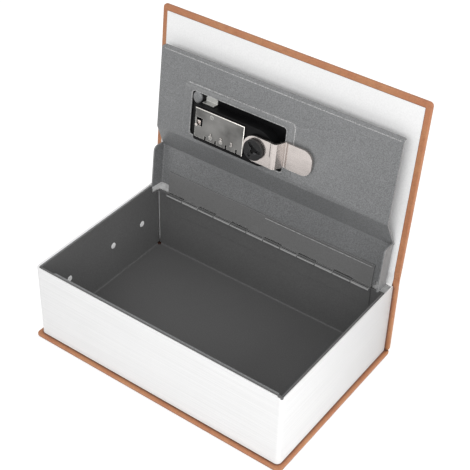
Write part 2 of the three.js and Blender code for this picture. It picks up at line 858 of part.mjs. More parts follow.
function codeSleeve() {
  const half = wheelWidth / 2 + sleeveProud;
  return cut(
    solid(rodX(sleeveRadius, -half, half, 0, 0)),
    rodX(axleRadius + axleGap, -half - cutOver, half + cutOver, 0, 0),
    block(wheelWidth / 2, half + cutOver, -gateWidth / 2, gateWidth / 2,
      axleRadius + axleGap + sleeveProud, sleeveRadius + cutOver),
  );
}

function addWheels() {
  wheelPlaces.forEach((x, i) => {
    const wheel = addPart(lid, `number_wheel_${i + 1}`, flutedWheel(), materials.dial);
    wheel.position.set(x, -wheelRowAlong, wheelAxisZ);
    const sleeve = addPart(lid, `code_sleeve_${i + 1}`, codeSleeve(), materials.spring);
    sleeve.position.set(x, -wheelRowAlong, wheelAxisZ);
  });
  const overrun = 2 * housingWall - lockGap;
  const axle = rodX(axleRadius, bayLeft - overrun, bayRight + overrun, -wheelRowAlong, wheelAxisZ);
  addPart(lid, 'wheel_axle', axle, materials.spring);
}

// Locking bar with a finger beside each sleeve, carried in the wheel bay
function addLockingBar() {
  const inner = wheelRowAlong + wheelRadius + barFingerGap;
  const outer = inner + barThickness;
  const half = barHeight / 2;
  let bar = solid(block(bayLeft + lockGap, bayRight - lockGap, -outer, -inner,
    wheelAxisZ - half, wheelAxisZ + half));
  for (const x of wheelPlaces) {
    const fingerX = x + wheelPitch / 2;
    bar = bar.add(solid(block(
      fingerX - barFinger / 2, fingerX + barFinger / 2,
      -inner - barThickness / 2, -wheelRowAlong - sleeveRadius - barFingerGap,
      wheelAxisZ - half / 2, wheelAxisZ + half / 2,
    )));
  }
  addPart(lid, 'locking_bar', bar, materials.zinc);
}

// Flat spring behind the wheels: its rounded tongues click into their flutes
function addWheelSpring() {
  const back = -bayNear - lockGap;
  const mid = back - springThickness / 2;
  const half = springWidth / 2;
  const radius = springBump;
  let spring = solid(block(bayLeft + lockGap, bayRight - lockGap, mid - springThickness / 2,
    mid + springThickness / 2, wheelAxisZ - half, wheelAxisZ + half));
  for (const x of wheelPlaces) {
    const bump = rodX(radius, x - wheelWidth / 3, x + wheelWidth / 3, mid, wheelAxisZ);
    const keep = block(bayLeft, bayRight, mid - 2 * radius, mid, wheelAxisZ - half, wheelAxisZ + half);
    spring = spring.add(solid(bump).intersect(solid(keep)));
  }
  addPart(lid, 'wheel_spring', spring, materials.spring);
}

function addChangeLever() {
  const x0 = housingLeft + leverFromEdge;
  const x1 = x0 + leverWidth;
  const y1 = -leverAlong;
  const slider = block(x0, x1, y1 - leverLength, y1, housingBack, housingBack + leverDepth);
  const nub = rodZ(leverNubRadius, backPlateUnder - leverNubHeight, housingBack + leverDepth / 2,
    (x0 + x1) / 2, y1 - leverLength / 2);
  addPart(lid, 'code_change_lever', join(slider, nub), materials.nickel);
}

// Cranked cam: its inner end sits on the spindle, the crank drops to the lid plate,
// and the round outer end swings under the ledge
function camOutline() {
  const shape = new THREE.Shape();
  const half = camWidth / 2;
  shape.absarc(0, 0, half, Math.PI / 2, 1.5 * Math.PI);
  shape.absarc(camReach - camEndRadius, -half + camEndRadius, camEndRadius, 1.5 * Math.PI, 2 * Math.PI);
  shape.absarc(camReach - camEndRadius, half - camEndRadius, camEndRadius, 0, Math.PI / 2);
  shape.closePath();
  return shape;
}

function addCam() {
  const mid = camInnerTop - camThickness / 2;
  const outerMid = camOuterTop - camThickness / 2;
  const crankStart = camInnerReach + camThickness / 2;
  const crankEnd = crankStart + camBendRun;
  const grooveEnd = crankEnd + camGrooveWidth;
  const crank = bentSheet([
    [-camWidth, mid],
    [crankStart - camRibWidth, mid],
    [crankStart - camRibWidth + camRibRun, mid - camRibHeight],
    [crankStart, mid - camRibHeight],
    [crankEnd, outerMid + camGrooveDepth],
    [grooveEnd, outerMid + camGrooveDepth],
    [grooveEnd + camGrooveRun, outerMid],
    [camReach + camWidth, outerMid],
  ], camThickness, camThickness / 4);
  const bent = solid(alongY(crank, -camWidth, camWidth));
  let cam = bent.intersect(solid(alongZ(camOutline(), capTop - cutOver, plateUnder, wideArcSteps)));
  cam = cut(cam, rodZ(spindleRadius + lockGap, capTop - cutOver, plateUnder, 0, 0));
  addPart(lid, 'cam_lever', cam, materials.nickel).position.set(-lockOffset, -lockAlong, 0);
}

function addSpindle() {
  const shaft = solid(rodZ(spindleRadius, spindleBottom + lockGap, knobUnder + knobBase / 2,
    -lockOffset, -lockAlong));
  const flatFace = block(
    -lockOffset - spindleRadius - cutOver, -lockOffset + spindleRadius + cutOver,
    -lockAlong + spindleFlat, -lockAlong + spindleRadius + cutOver,
    spindleBottom - cutOver, camInnerTop,
  );
  addPart(lid, 'spindle', cut(shaft, flatFace), materials.black);
}

// Black end cap over the cam, with a recessed hub, three driver arms and a socket
// for the spindle
function addEndCap() {
  let cap = solid(rodZ(capRadius, capTop - capThickness, capTop, 0, 0, 2 * roundSides));
  for (let i = 0; i < capSlots; i += 1) {
    const arm = block(0, capSlotReach, -capSlotWidth / 2, capSlotWidth / 2,
      capTop - capThickness - cutOver, capTop - capThickness + capRecess);
    arm.rotateZ(i * 2 * Math.PI / capSlots);
    cap = cut(cap, arm);
  }
  cap = cut(
    cap,
    rodZ(capHubRadius, capTop - capThickness - cutOver, capTop - capThickness + capRecess / 2, 0, 0),
    rodZ(spindleRadius + lockGap, spindleBottom, capTop + cutOver, 0, 0),
    rodZ(capSlotWidth / 2, capTop - capThickness - cutOver, capTop, 0, 0),
  );
  addPart(lid, 'cam_end_cap', cap, materials.black).position.set(-lockOffset, -lockAlong, 0);
}

function addKnob() {
  let knob = solid(rodZ(knobRadius, knobUnder, knobUnder + knobBase, 0, 0, 2 * roundSides));
  for (let i = 0; i < knobFlutes; i += 1) {
    const angle = i * 2 * Math.PI / knobFlutes;
    knob = cut(knob, rodZ(knobFluteRadius, knobUnder - cutOver, knobUnder + knobBase + cutOver,
      knobRadius * Math.cos(angle), knobRadius * Math.sin(angle), 2 * arcSteps));
  }
  const reach = knobRadius - 2 * knobFluteRadius;
  const grip = alongZ(
    roundedRect(-reach, reach, -knobGripWidth / 2, knobGripWidth / 2, knobGripWidth / 2.1),
    knobUnder,
    knobUnder + knobHeight,
  );
  knob = knob.add(solid(grip));
  knob = cut(knob, rodZ(spindleRadius + lockGap, knobUnder - cutOver, knobUnder + knobBase / 2 + lockGap,
    0, 0));
  addPart(lid, 'turn_knob', knob, materials.black).position.set(-lockOffset, -lockAlong, 0);
}

// Nickel clip between the housing and the edge of the cut-out
function addLockClip() {
  const mid = clipThickness / 2;
  const leg = -lockAlong - housingRadius - lockGap - mid;
  const top = plateTop - pressDepth - mid;
  const outline = bentSheet([
    [leg, top - clipLeg],
    [leg, top],
    [-cutoutFar + lockGap, top],
  ], clipThickness, clipThickness / 2);
  const x0 = housingLeft + clipFromLeft;
  const plan = roundedRect(x0, x0 + clipWidth, -cutoutFar + lockGap, leg + cutOver, clipCornerRadius);
  const clip = solid(alongX(outline, x0, x0 + clipWidth))
    .intersect(solid(alongZ(plan, top - 2 * clipLeg, top + clipLeg)));
  addPart(lid, 'lock_clip', clip, materials.nickel);
}

addBackBoard();
addSpine();
addCrease();
addFrontCover();
addPageBlock();
addSteelBox();
addLedge();
addPianoHinge();
addLidPlate();
addLockHousing();
addBezel();
addBackPlate();
addWheels();
addLockingBar();
addWheelSpring();
addChangeLever();
addCam();
addSpindle();
addEndCap();
addKnob();
addLockClip();

export default book;
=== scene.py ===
# %% [markdown]
# A book safe looks like an old hardcover and hides a folded steel box. The safe lies on its
# back cover with the front cover and the steel lid standing open. The measured model already
# holds every piece at its true size, so this script loads it and gives each piece the edges,
# folds and finish of the real one. Lengths are in metres, except where a comment says
# millimetres.

import json
import math

import bmesh
import bpy
from mathutils import Matrix, Vector


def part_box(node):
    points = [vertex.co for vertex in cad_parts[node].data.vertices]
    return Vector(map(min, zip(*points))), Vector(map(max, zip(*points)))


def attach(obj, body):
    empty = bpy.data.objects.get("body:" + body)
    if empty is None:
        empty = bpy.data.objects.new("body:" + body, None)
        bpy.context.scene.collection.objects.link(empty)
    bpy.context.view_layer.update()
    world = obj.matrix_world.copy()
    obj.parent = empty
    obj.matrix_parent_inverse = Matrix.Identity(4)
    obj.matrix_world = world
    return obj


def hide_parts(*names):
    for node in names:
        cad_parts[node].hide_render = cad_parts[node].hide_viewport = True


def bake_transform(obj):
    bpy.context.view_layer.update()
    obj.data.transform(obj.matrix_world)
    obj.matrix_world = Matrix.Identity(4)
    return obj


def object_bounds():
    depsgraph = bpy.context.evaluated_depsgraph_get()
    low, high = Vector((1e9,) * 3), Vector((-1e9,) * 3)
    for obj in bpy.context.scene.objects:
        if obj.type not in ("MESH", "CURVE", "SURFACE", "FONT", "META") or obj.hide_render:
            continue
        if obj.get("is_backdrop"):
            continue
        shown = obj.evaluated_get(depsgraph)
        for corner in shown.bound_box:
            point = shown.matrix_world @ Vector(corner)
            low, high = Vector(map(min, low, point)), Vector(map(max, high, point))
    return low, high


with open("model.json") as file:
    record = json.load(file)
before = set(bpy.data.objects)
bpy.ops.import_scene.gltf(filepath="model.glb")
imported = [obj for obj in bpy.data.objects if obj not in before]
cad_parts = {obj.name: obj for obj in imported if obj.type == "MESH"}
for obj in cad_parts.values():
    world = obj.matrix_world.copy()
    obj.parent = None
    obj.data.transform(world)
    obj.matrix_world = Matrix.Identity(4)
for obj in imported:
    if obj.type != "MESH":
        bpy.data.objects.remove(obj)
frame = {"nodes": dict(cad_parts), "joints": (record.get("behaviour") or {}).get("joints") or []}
cad_low, cad_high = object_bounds()
scene = bpy.context.scene
MM = 0.001

# %% [markdown]
# The camera stands where the photograph was taken. Its place, its direction and its focal
# length were fitted to the edges of the box and of the payment cards that lie in it in the
# photograph, whose size is known. The rows of the matrix are the camera's right, its up and
# its backward direction. The sensor is 36 mm wide, so a focal length in pixels turns into one
# in millimetres by that width over the picture's.

# %% Place the camera
IMAGE_WIDTH_PX = 470
FOCAL_PX = 1173.5
EYE = Vector((0.37858, -0.52427, 0.61293))
FORWARD = Vector((-0.44866, 0.64300, -0.62069)).normalized()
RIGHT_HINT = Vector((0.80806, 0.58854, 0.02559))
SENSOR_MM = 36.0

right = (RIGHT_HINT - FORWARD * RIGHT_HINT.dot(FORWARD)).normalized()
up = right.cross(FORWARD)
camera_data = bpy.data.cameras.new("photo_camera")
camera_data.sensor_width = SENSOR_MM
camera_data.lens = FOCAL_PX / IMAGE_WIDTH_PX * SENSOR_MM
camera = bpy.data.objects.new("photo_camera", camera_data)
axes = Matrix((right, up, -FORWARD)).transposed()
camera.matrix_world = Matrix.Translation(EYE) @ axes.to_4x4()
scene.collection.objects.link(camera)
scene.camera = camera
print("lens in mm:", round(camera_data.lens, 1))

# %% [markdown]
# Three places keep coming back: the hinge line of the lid, the fold line of the cover, and
# how far each stands open. The joints of the model hold them all, so they are read from
# there. A piece of the lid is easiest to draw as if the lid lay shut, with its hinge as the
# origin, and one matrix then stands it up. A second matrix does the same for the cover.

# %% Read the hinge lines
joints = {joint["name"]: joint for joint in frame["joints"]}
LID_HINGE = Vector(joints["lid_hinge"]["pos_m"])
SPINE_FOLD = Vector(joints["cover_crease_turn"]["pos_m"])
COVER_FOLD = Vector(joints["cover_fold"]["pos_m"])
LID_ANGLE = math.radians(joints["lid_hinge"]["range_deg"][0])
fold_run = COVER_FOLD - SPINE_FOLD
CREASE_WIDTH = fold_run.length
COVER_ANGLE = -math.atan2(fold_run.z, -fold_run.y)
lid_turn = Matrix.Rotation(LID_ANGLE, 4, "X")
lid_place = Matrix.Translation(LID_HINGE) @ lid_turn
cover_place = Matrix.Translation(SPINE_FOLD) @ Matrix.Rotation(COVER_ANGLE, 4, "X")
in_place = Matrix.Identity(4)
print("lid opens by", round(math.degrees(-LID_ANGLE), 1), "degrees")

# %% [markdown]
# Small shader groups do the work that several finishes share. Each is built once and is
# given other values in each material. The first one makes a fine relief from two sizes of
# noise, as a sprayed or moulded skin has.

# %% Shader group: fine relief
def node_group(kind, name, inputs, outputs):
    """A node group with its inner sockets. An input is a first value or the kind of a socket."""
    sorts = {int: "Int", float: "Float"}
    group = bpy.data.node_groups.new(name, kind)
    for label, value in inputs.items():
        sort = sorts.get(type(value), value)
        socket = group.interface.new_socket(label, in_out="INPUT", socket_type="NodeSocket" + sort)
        if type(value) in sorts:
            socket.default_value = value
    for label, sort in outputs.items():
        group.interface.new_socket(label, in_out="OUTPUT", socket_type="NodeSocket" + sort)
    given = group.nodes.new("NodeGroupInput").outputs
    return group, given, group.nodes.new("NodeGroupOutput").inputs


def add_node(tree, kind, links=None, **settings):
    """A node with its settings, and its inputs set to numbers or linked to sockets."""
    node = tree.nodes.new(kind)
    for key, value in settings.items():
        setattr(node, key, value)
    for key, value in (links or {}).items():
        socket = node.inputs[key]
        if isinstance(value, bpy.types.NodeSocket):
            tree.links.new(value, socket)
        else:
            socket.default_value = value
    return node


def math_node(tree, operation, first, second):
    """One step of arithmetic, and its result socket."""
    return add_node(tree, "ShaderNodeMath", {0: first, 1: second}, operation=operation).outputs[0]


def noise_node(tree, vector, scale, detail=2.0, roughness=0.5):
    """Three-dimensional noise, and its value socket."""
    links = {"Vector": vector, "Scale": scale, "Detail": detail, "Roughness": roughness}
    return add_node(tree, "ShaderNodeTexNoise", links).outputs["Fac"]


relief_group, given, result = node_group(
    "ShaderNodeTree", "fine_relief",
    {"Vector": "Vector", "Coarse": 600.0, "Fine": 2500.0, "Fine Share": 0.4},
    {"Height": "Float", "Mask": "Float"},
)
coarse = noise_node(relief_group, given["Vector"], given["Coarse"], detail=1.0)
fine = noise_node(relief_group, given["Vector"], given["Fine"])
fine_part = math_node(relief_group, "MULTIPLY", fine, given["Fine Share"])
relief_group.links.new(math_node(relief_group, "ADD", coarse, fine_part), result["Height"])
relief_group.links.new(coarse, result["Mask"])
print("group:", relief_group.name)

# %% [markdown]
# Handling rubs the edges of a thing first, and edges are also where a highlight sits. The
# second group finds edges by comparing the true normal with one that is smoothed over a small
# radius: they differ only where the surface turns. Its mask serves both for wear and for
# highlights painted on edges. A little noise breaks the line up, so that the wear and the
# painted highlights look uneven.

# %% Shader group: worn and highlighted edges
edge_wear_highlight_group, given, result = node_group(
    "ShaderNodeTree", "edge_wear_and_highlight",
    {"Vector": "Vector", "Radius": 0.6 * MM, "Breakup": 300.0, "Amount": 1.0},
    {"Mask": "Float"},
)
soft_normal = add_node(edge_wear_highlight_group, "ShaderNodeBevel", {"Radius": given["Radius"]}, samples=4)
true_normal = add_node(edge_wear_highlight_group, "ShaderNodeNewGeometry").outputs["True Normal"]
normals = {0: soft_normal.outputs["Normal"], 1: true_normal}
likeness = add_node(edge_wear_highlight_group, "ShaderNodeVectorMath", normals, operation="DOT_PRODUCT")
turned = math_node(edge_wear_highlight_group, "SUBTRACT", 1.0, likeness.outputs["Value"])
breakup = noise_node(edge_wear_highlight_group, given["Vector"], given["Breakup"], detail=3.0)
patchy = math_node(edge_wear_highlight_group, "MULTIPLY", turned, breakup)
scaled = math_node(edge_wear_highlight_group, "MULTIPLY", patchy, given["Amount"])
clamped = add_node(edge_wear_highlight_group, "ShaderNodeClamp", {"Value": scaled}).outputs[0]
edge_wear_highlight_group.links.new(clamped, result["Mask"])
print("group:", edge_wear_highlight_group.name)

# %% [markdown]
# Every finish starts from the same few nodes: the surface shader, the object's own
# coordinates, and a bump. These helpers set them up, so that each material below only
# says what is special about it. The depth of a bump is given in millimetres.

# %% Helpers for materials
def srgb(red, green, blue):
    """A colour as read from a picture, 0 to 255, as the linear values that a shader takes."""
    def linear(value):
        value = value / 255
        return value / 12.92 if value <= 0.04045 else ((value + 0.055) / 1.055) ** 2.4
    return (linear(red), linear(green), linear(blue), 1.0)


def grey(value):
    """A colour without any tint."""
    return srgb(value, value, value)


def new_finish(name, roughness, metallic=0.0, specular=0.5):
    """An empty material: its tree, its shader and its object coordinates."""
    material = bpy.data.materials.new(name)
    material.use_nodes = True
    tree = material.node_tree
    tree.nodes.clear()
    shader = add_node(tree, "ShaderNodeBsdfPrincipled", {
        "Roughness": roughness,
        "Metallic": metallic,
        "Specular IOR Level": specular,
    })
    add_node(tree, "ShaderNodeOutputMaterial", {"Surface": shader.outputs["BSDF"]})
    place = add_node(tree, "ShaderNodeTexCoord").outputs["Object"]
    return material, tree, shader, place


def mix_colours(tree, factor, first, second):
    """A colour between two, by a factor."""
    links = {0: factor, 6: first, 7: second}
    return add_node(tree, "ShaderNodeMix", links, data_type="RGBA").outputs[2]


def ramp(tree, value, low, high, out_low=0.0, out_high=1.0):
    """A value stretched from one range to another, and held at its ends."""
    links = {"Value": value, 1: low, 2: high, 3: out_low, 4: out_high}
    return add_node(tree, "ShaderNodeMapRange", links).outputs["Result"]


def rub_edges(tree, place, colour, rubbed, radius, breakup, amount):
    """A colour whose edges turn to another over a radius in millimetres. Darker edges are wear;
    lighter ones are a painted highlight.
    """
    values = {"Vector": place, "Radius": radius * MM, "Breakup": breakup, "Amount": amount}
    mask = add_node(tree, "ShaderNodeGroup", values, node_tree=edge_wear_highlight_group).outputs["Mask"]
    return mix_colours(tree, mask, colour, rubbed)


def fine_relief(tree, place, coarse, fine, share):
    """The height and the mask of the shared relief, with this material's values."""
    values = {"Vector": place, "Coarse": coarse, "Fine": fine, "Fine Share": share}
    outputs = add_node(tree, "ShaderNodeGroup", values, node_tree=relief_group).outputs
    return outputs["Height"], outputs["Mask"]


def stretched(tree, place, scale):
    """Coordinates scaled along each axis. A noise in them is drawn out where the scale is small."""
    mapped = add_node(tree, "ShaderNodeMapping", {"Vector": place, "Scale": scale})
    return mapped.outputs["Vector"]


def set_surface(tree, shader, colour, relief, depth, strength, roughness=None):
    """Gives the shader its colour, a bump, and a roughness where that varies."""
    tree.links.new(colour, shader.inputs["Base Color"])
    if roughness is not None:
        tree.links.new(roughness, shader.inputs["Roughness"])
    links = {"Height": relief, "Distance": depth * MM, "Strength": strength}
    bump = add_node(tree, "ShaderNodeBump", links)
    tree.links.new(bump.outputs["Normal"], shader.inputs["Normal"])


def print_finishes(*materials):
    """Names the finishes that a cell has made."""
    print("finishes:", ", ".join(material.name for material in materials))


print("helpers ready")

# %% [markdown]
# Leatherette is a thin vinyl pressed with a leather grain: rounded pebbles, under a
# millimetre across, with fine valleys between them, and softer creases a few millimetres
# long. Cell noise gives the pebbles, and a rougher noise gives the creases. The brown
# drifts a little towards red over a few centimetres, and the edges are darker, where hands
# and the press have rubbed them. Where the cover meets the leaves, an Ambient Occlusion node
# with a reach of three millimetres darkens the colour of only that corner: a painted contact
# shadow.

# %% Finish: leatherette
DRIFT_SCALE = 28.0
CREASE_SCALE = 240.0
CREASE_SHARE = 2.2
PEBBLE_SCALE = 1500.0
VALLEY_END = 0.22
CONTACT_SHADE_REACH = 3.0 * MM


def make_leatherette():
    material, tree, shader, place = new_finish("leatherette", 0.5)
    drift = noise_node(tree, place, DRIFT_SCALE, 5.0, 0.6)
    creases = noise_node(tree, place, CREASE_SCALE, 6.0, 0.62)
    links = {"Vector": place, "Scale": PEBBLE_SCALE}
    cells = add_node(tree, "ShaderNodeTexVoronoi", links, feature="DISTANCE_TO_EDGE")
    valleys = ramp(tree, cells.outputs["Distance"], 0.0, VALLEY_END)
    redder = ramp(tree, drift, 0.4, 0.65)
    brown = mix_colours(tree, redder, srgb(191, 134, 92), srgb(181, 117, 81))
    in_crease = ramp(tree, creases, 0.36, 0.5, 0.22, 0.0)
    creased = mix_colours(tree, in_crease, brown, srgb(136, 82, 54))
    in_valley = ramp(tree, valleys, 0.0, 1.0, 0.3, 0.0)
    grained = mix_colours(tree, in_valley, creased, srgb(118, 68, 44))
    rubbed = rub_edges(tree, place, grained, srgb(126, 66, 44), 1.2, 500.0, 2.2)
    # This Ambient Occlusion darkening is a painted contact shadow, not dirt.
    corners = add_node(tree, "ShaderNodeAmbientOcclusion", {"Distance": CONTACT_SHADE_REACH}, samples=8)
    painted_contact_shade = ramp(tree, corners.outputs["AO"], 0.5, 0.88, 0.85, 0.0)
    contact_shaded = mix_colours(tree, painted_contact_shade, rubbed, srgb(84, 44, 32))
    relief = math_node(tree, "ADD", valleys, math_node(tree, "MULTIPLY", creases, CREASE_SHARE))
    roughness = ramp(tree, drift, 0.3, 0.7, 0.42, 0.58)
    set_surface(tree, shader, contact_shaded, relief, 0.08, 0.9, roughness)
    return material


leatherette = make_leatherette()
print_finishes(leatherette)

# %% [markdown]
# The endpaper is smooth white paper pasted on the board. Up close it has a faint cloudy
# fibre, which takes almost nothing from its white.

# %% Finish: endpaper
def make_endpaper():
    material, tree, shader, place = new_finish("endpaper", 0.75, specular=0.3)
    cloud = ramp(tree, noise_node(tree, place, 900.0, 4.0), 0.35, 0.65)
    white = mix_colours(tree, cloud, grey(236), grey(242))
    height, _ = fine_relief(tree, place, 250.0, 3000.0, 0.5)
    set_surface(tree, shader, white, height, 0.02, 0.6)
    return material


endpaper = make_endpaper()
print_finishes(endpaper)

# %% [markdown]
# The page block is a thin frame that looks like a stack of leaves. Its leaves run level, so
# the noise is squeezed flat: it changes quickly upwards and hardly at all along the page.

# %% Finish: page edges
ALONG_PAGE = 10.0
ACROSS_PAGES = 1800.0


def make_page_edges():
    material, tree, shader, place = new_finish("page_edges", 0.7, specular=0.3)
    squeezed = stretched(tree, place, (ALONG_PAGE, ALONG_PAGE, ACROSS_PAGES))
    lines = noise_node(tree, squeezed, 1.0, 3.0, 0.6)
    white = mix_colours(tree, ramp(tree, lines, 0.38, 0.62), grey(238), grey(245))
    set_surface(tree, shader, white, lines, 0.08, 0.5)
    return material


page_edges = make_page_edges()
print_finishes(page_edges)

# %% [markdown]
# Powder coat is sprayed as dust and melted on, which leaves a skin like orange peel. The
# box and the lid have the same paint, and the leaf on the lid is smoother. The box's grey is
# darker than the lid's: painted shade for the inside of the box. Edges are painted a little
# lighter, a painted highlight where an edge catches the light. A fourth, lighter grey paints
# the highlights on the beads where the press has stretched the sheet.

# %% Finish: powder coat
def make_powder_coat(name, dark, light, peel_depth, roughness, highlight_colour, highlight_amount):
    material, tree, shader, place = new_finish(name, roughness)
    peel, mask = fine_relief(tree, place, 1300.0, 3400.0, 0.5)
    cloud = ramp(tree, noise_node(tree, place, 40.0, 3.0), 0.35, 0.65, 0.0, 0.25)
    speckle = mix_colours(tree, ramp(tree, mask, 0.38, 0.62), dark, light)
    shade = mix_colours(tree, cloud, speckle, dark)
    # The lighter edge colour is a painted highlight.
    edged = rub_edges(tree, place, shade, highlight_colour, 0.6, 700.0, highlight_amount)
    set_surface(tree, shader, edged, peel, peel_depth, 0.7)
    return material


painted_edge_highlight = grey(205)
lid_dark, lid_light = srgb(106, 107, 108), srgb(132, 133, 134)
# The box has the lid's paint; its darker grey is painted shade for the inside of the box.
box_paint = make_powder_coat("box_paint", grey(92), grey(101), 0.04, 0.55, grey(150), 1.4)
lid_paint = make_powder_coat("lid_paint", lid_dark, lid_light, 0.08, 0.42, painted_edge_highlight, 2.4)
leaf_paint = make_powder_coat("leaf_paint", grey(110), grey(120), 0.02, 0.4, painted_edge_highlight, 1.8)
highlight_paint = make_powder_coat("highlight_paint", grey(122), grey(192), 0.03, 0.35, painted_edge_highlight, 2.0)
print_finishes(box_paint, lid_paint, leaf_paint, highlight_paint)

# %% [markdown]
# The lock's metals differ in shade and gloss: dull, cloudy zinc on the back plate, bright
# nickel on the cam, pale steel on the clip, spring steel inside, and a warmer plating on the
# number wheels. Their edges are painted near white, a painted highlight, strongest on the zinc
# and the clip. One recipe serves them all. Polished metal shows faint drawn lines, made from
# noise stretched along one direction.

# %% Finish: metals
ALONG_STREAK = 60.0
ACROSS_STREAKS = 2500.0


def make_metal(name, colour, roughness, streak_depth, cloud_share,
               cloud_scale=130.0, dimmed=0.72, edge_wear_and_glint=1.2):
    material, tree, shader, place = new_finish(name, roughness, metallic=1.0)
    drawn = stretched(tree, place, (ALONG_STREAK, ACROSS_STREAKS, ACROSS_STREAKS))
    lines = noise_node(tree, drawn, 1.0, 3.0)
    cloud = ramp(tree, noise_node(tree, place, cloud_scale, 3.0), 0.35, 0.7, 0.0, cloud_share)
    darker = tuple(channel * dimmed for channel in colour[:3]) + (1.0,)
    shade = mix_colours(tree, cloud, colour, darker)
    # Edges turn near white: a painted highlight.
    bright = rub_edges(tree, place, shade, srgb(250, 249, 244), 0.5, 400.0, edge_wear_and_glint)
    varied = ramp(tree, lines, 0.3, 0.7, roughness * 0.85, roughness * 1.2)
    set_surface(tree, shader, bright, lines, streak_depth, 0.5, varied)
    return material


zinc = make_metal("zinc", srgb(134, 133, 131), 0.42, 0.01, 1.0, 55.0, 0.42, 8.0)
nickel = make_metal("nickel", srgb(200, 192, 188), 0.24, 0.004, 0.35, 110.0, 0.7, 3.0)
spring_steel = make_metal("spring_steel", srgb(150, 152, 154), 0.32, 0.006, 0.4)
wheel_metal = make_metal("wheel_metal", srgb(196, 190, 180), 0.3, 0.005, 0.5)
clip_steel = make_metal("clip_steel", srgb(196, 196, 193), 0.4, 0.006, 0.6, 130.0, 0.75, 8.0)
plate_edge_highlight = make_metal("plate_edge_highlight", srgb(236, 232, 226), 0.3, 0.004, 0.2)
print_finishes(zinc, nickel, spring_steel, wheel_metal, clip_steel, plate_edge_highlight)

# %% [markdown]
# The lock's body, knob and end cap are black moulded plastic with a fine mould texture,
# and the figures on the wheels are filled with plain black paint. Their edges turn grey, and
# on the end cap, where this is strongest, the grey ring is a painted highlight. Grey board
# shows nowhere once the book is covered, but it gets its own finish all the same. The same
# recipe, with other colours, gives the pale steel of the weld and of the painted highlights on
# the hinge, the painted shadow in the hinge's crevice, and the brown drop that paints the
# shade in the box's corner holes.

# %% Finish: plastic, ink, board and small trim
def make_plastic(name, colour, roughness, depth, specular=0.5, edge_wear_and_glint=0.6):
    material, tree, shader, place = new_finish(name, roughness, specular=specular)
    height, _ = fine_relief(tree, place, 1800.0, 5200.0, 0.6)
    smudge = noise_node(tree, place, 160.0, 3.0)
    # Edges turn grey; where the amount is high, as on the end cap, this is a painted highlight
    # ring.
    tint = rub_edges(tree, place, colour, srgb(110, 110, 112), 0.4, 500.0, edge_wear_and_glint)
    varied = ramp(tree, smudge, 0.35, 0.7, roughness * 0.8, roughness * 1.25)
    set_surface(tree, shader, tint, height, depth, 0.5, varied)
    return material


lock_black = make_plastic("lock_black", srgb(11, 11, 12), 0.4, 0.01, 0.12)
cap_black = make_plastic("cap_black", srgb(20, 20, 21), 0.36, 0.008, 0.32, 4.0)
ink = make_plastic("ink", grey(12), 0.5, 0.005)
board = make_plastic("board", srgb(150, 140, 126), 0.9, 0.04)
bare_steel_and_glint = make_plastic("bare_steel_and_glint", grey(176), 0.3, 0.004)
crevice_shadow = make_plastic("crevice_shadow", srgb(30, 30, 31), 0.7, 0.004, 0.1)
hole_shade = make_plastic("hole_shade_brown", srgb(52, 28, 20), 0.35, 0.04, 0.3)
print_finishes(lock_black, cap_black, ink, board, bare_steel_and_glint, crevice_shadow, hole_shade)

# %% [markdown]
# Real edges are never perfectly sharp, and it is the light on a rounded edge that makes
# metal look like metal. The measured pieces come as loose triangles, so a copy is merged,
# its flat faces are joined again, and a Bevel modifier rounds what turns sharply. The copy
# then stands for the measured piece.

# %% Helper: a copy with rounded edges
MERGE_DISTANCE = 1e-6
FLAT_ANGLE = math.radians(0.5)
SHARP_ANGLE = math.radians(30)
BEVEL_SEGMENTS = 2


def finish_mesh(obj):
    """Applies the modifiers and leaves a plain mesh."""
    depsgraph = bpy.context.evaluated_depsgraph_get()
    mesh = bpy.data.meshes.new_from_object(obj.evaluated_get(depsgraph), depsgraph=depsgraph)
    obj.modifiers.clear()
    old = obj.data
    obj.data = mesh
    mesh.name = obj.name
    bpy.data.meshes.remove(old)


def add_object(name, mesh, material):
    """A new object at the origin with one material."""
    mesh.materials.append(material)
    obj = bpy.data.objects.new(name, mesh)
    scene.collection.objects.link(obj)
    return obj


def object_from(bm, name, material):
    """A new object from a mesh that is done being built."""
    mesh = bpy.data.meshes.new(name)
    bm.to_mesh(mesh)
    bm.free()
    return add_object(name, mesh, material)


def belongs(obj, body, node=None):
    """Hides the measured piece that this one stands for, if any, and sets which body it rides."""
    if node:
        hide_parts(node)
    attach(obj, body)
    print(obj.name, len(obj.data.polygons), "faces")


def dress(node, body, material, slot_name, width):
    """A copy of a measured piece, with its edges rounded by a width in millimetres."""
    bm = bmesh.new()
    bm.from_mesh(frame["nodes"][node].data)
    bmesh.ops.remove_doubles(bm, verts=bm.verts, dist=MERGE_DISTANCE)
    bmesh.ops.dissolve_limit(bm, angle_limit=FLAT_ANGLE, use_dissolve_boundaries=False,
                             verts=bm.verts, edges=bm.edges)
    obj = object_from(bm, node + "_finished", material)
    obj.data.shade_smooth()
    obj.data.set_sharp_from_angle(angle=SHARP_ANGLE)
    bevel = obj.modifiers.new("rounded", "BEVEL")
    bevel.width = width * MM
    bevel.segments = BEVEL_SEGMENTS
    bevel.limit_method = "ANGLE"
    bevel.angle_limit = SHARP_ANGLE
    bevel.harden_normals = True
    bevel.use_clamp_overlap = True
    finish_mesh(obj)
    belongs(obj, body, node)


print("helpers ready")

# %% [markdown]
# What the measured model doesn't hold, or only roughly, is made as a stack of rings. Each
# ring is an outline with the same number of points, walls join one ring to the next, and
# the first and last are filled. Most outlines are circles or rectangles with round corners.

# %% Helper: outlines and a skin over them
CORNER_STEPS = 6
CIRCLE_POINTS = 28
SKIN_SHARP = math.radians(50)


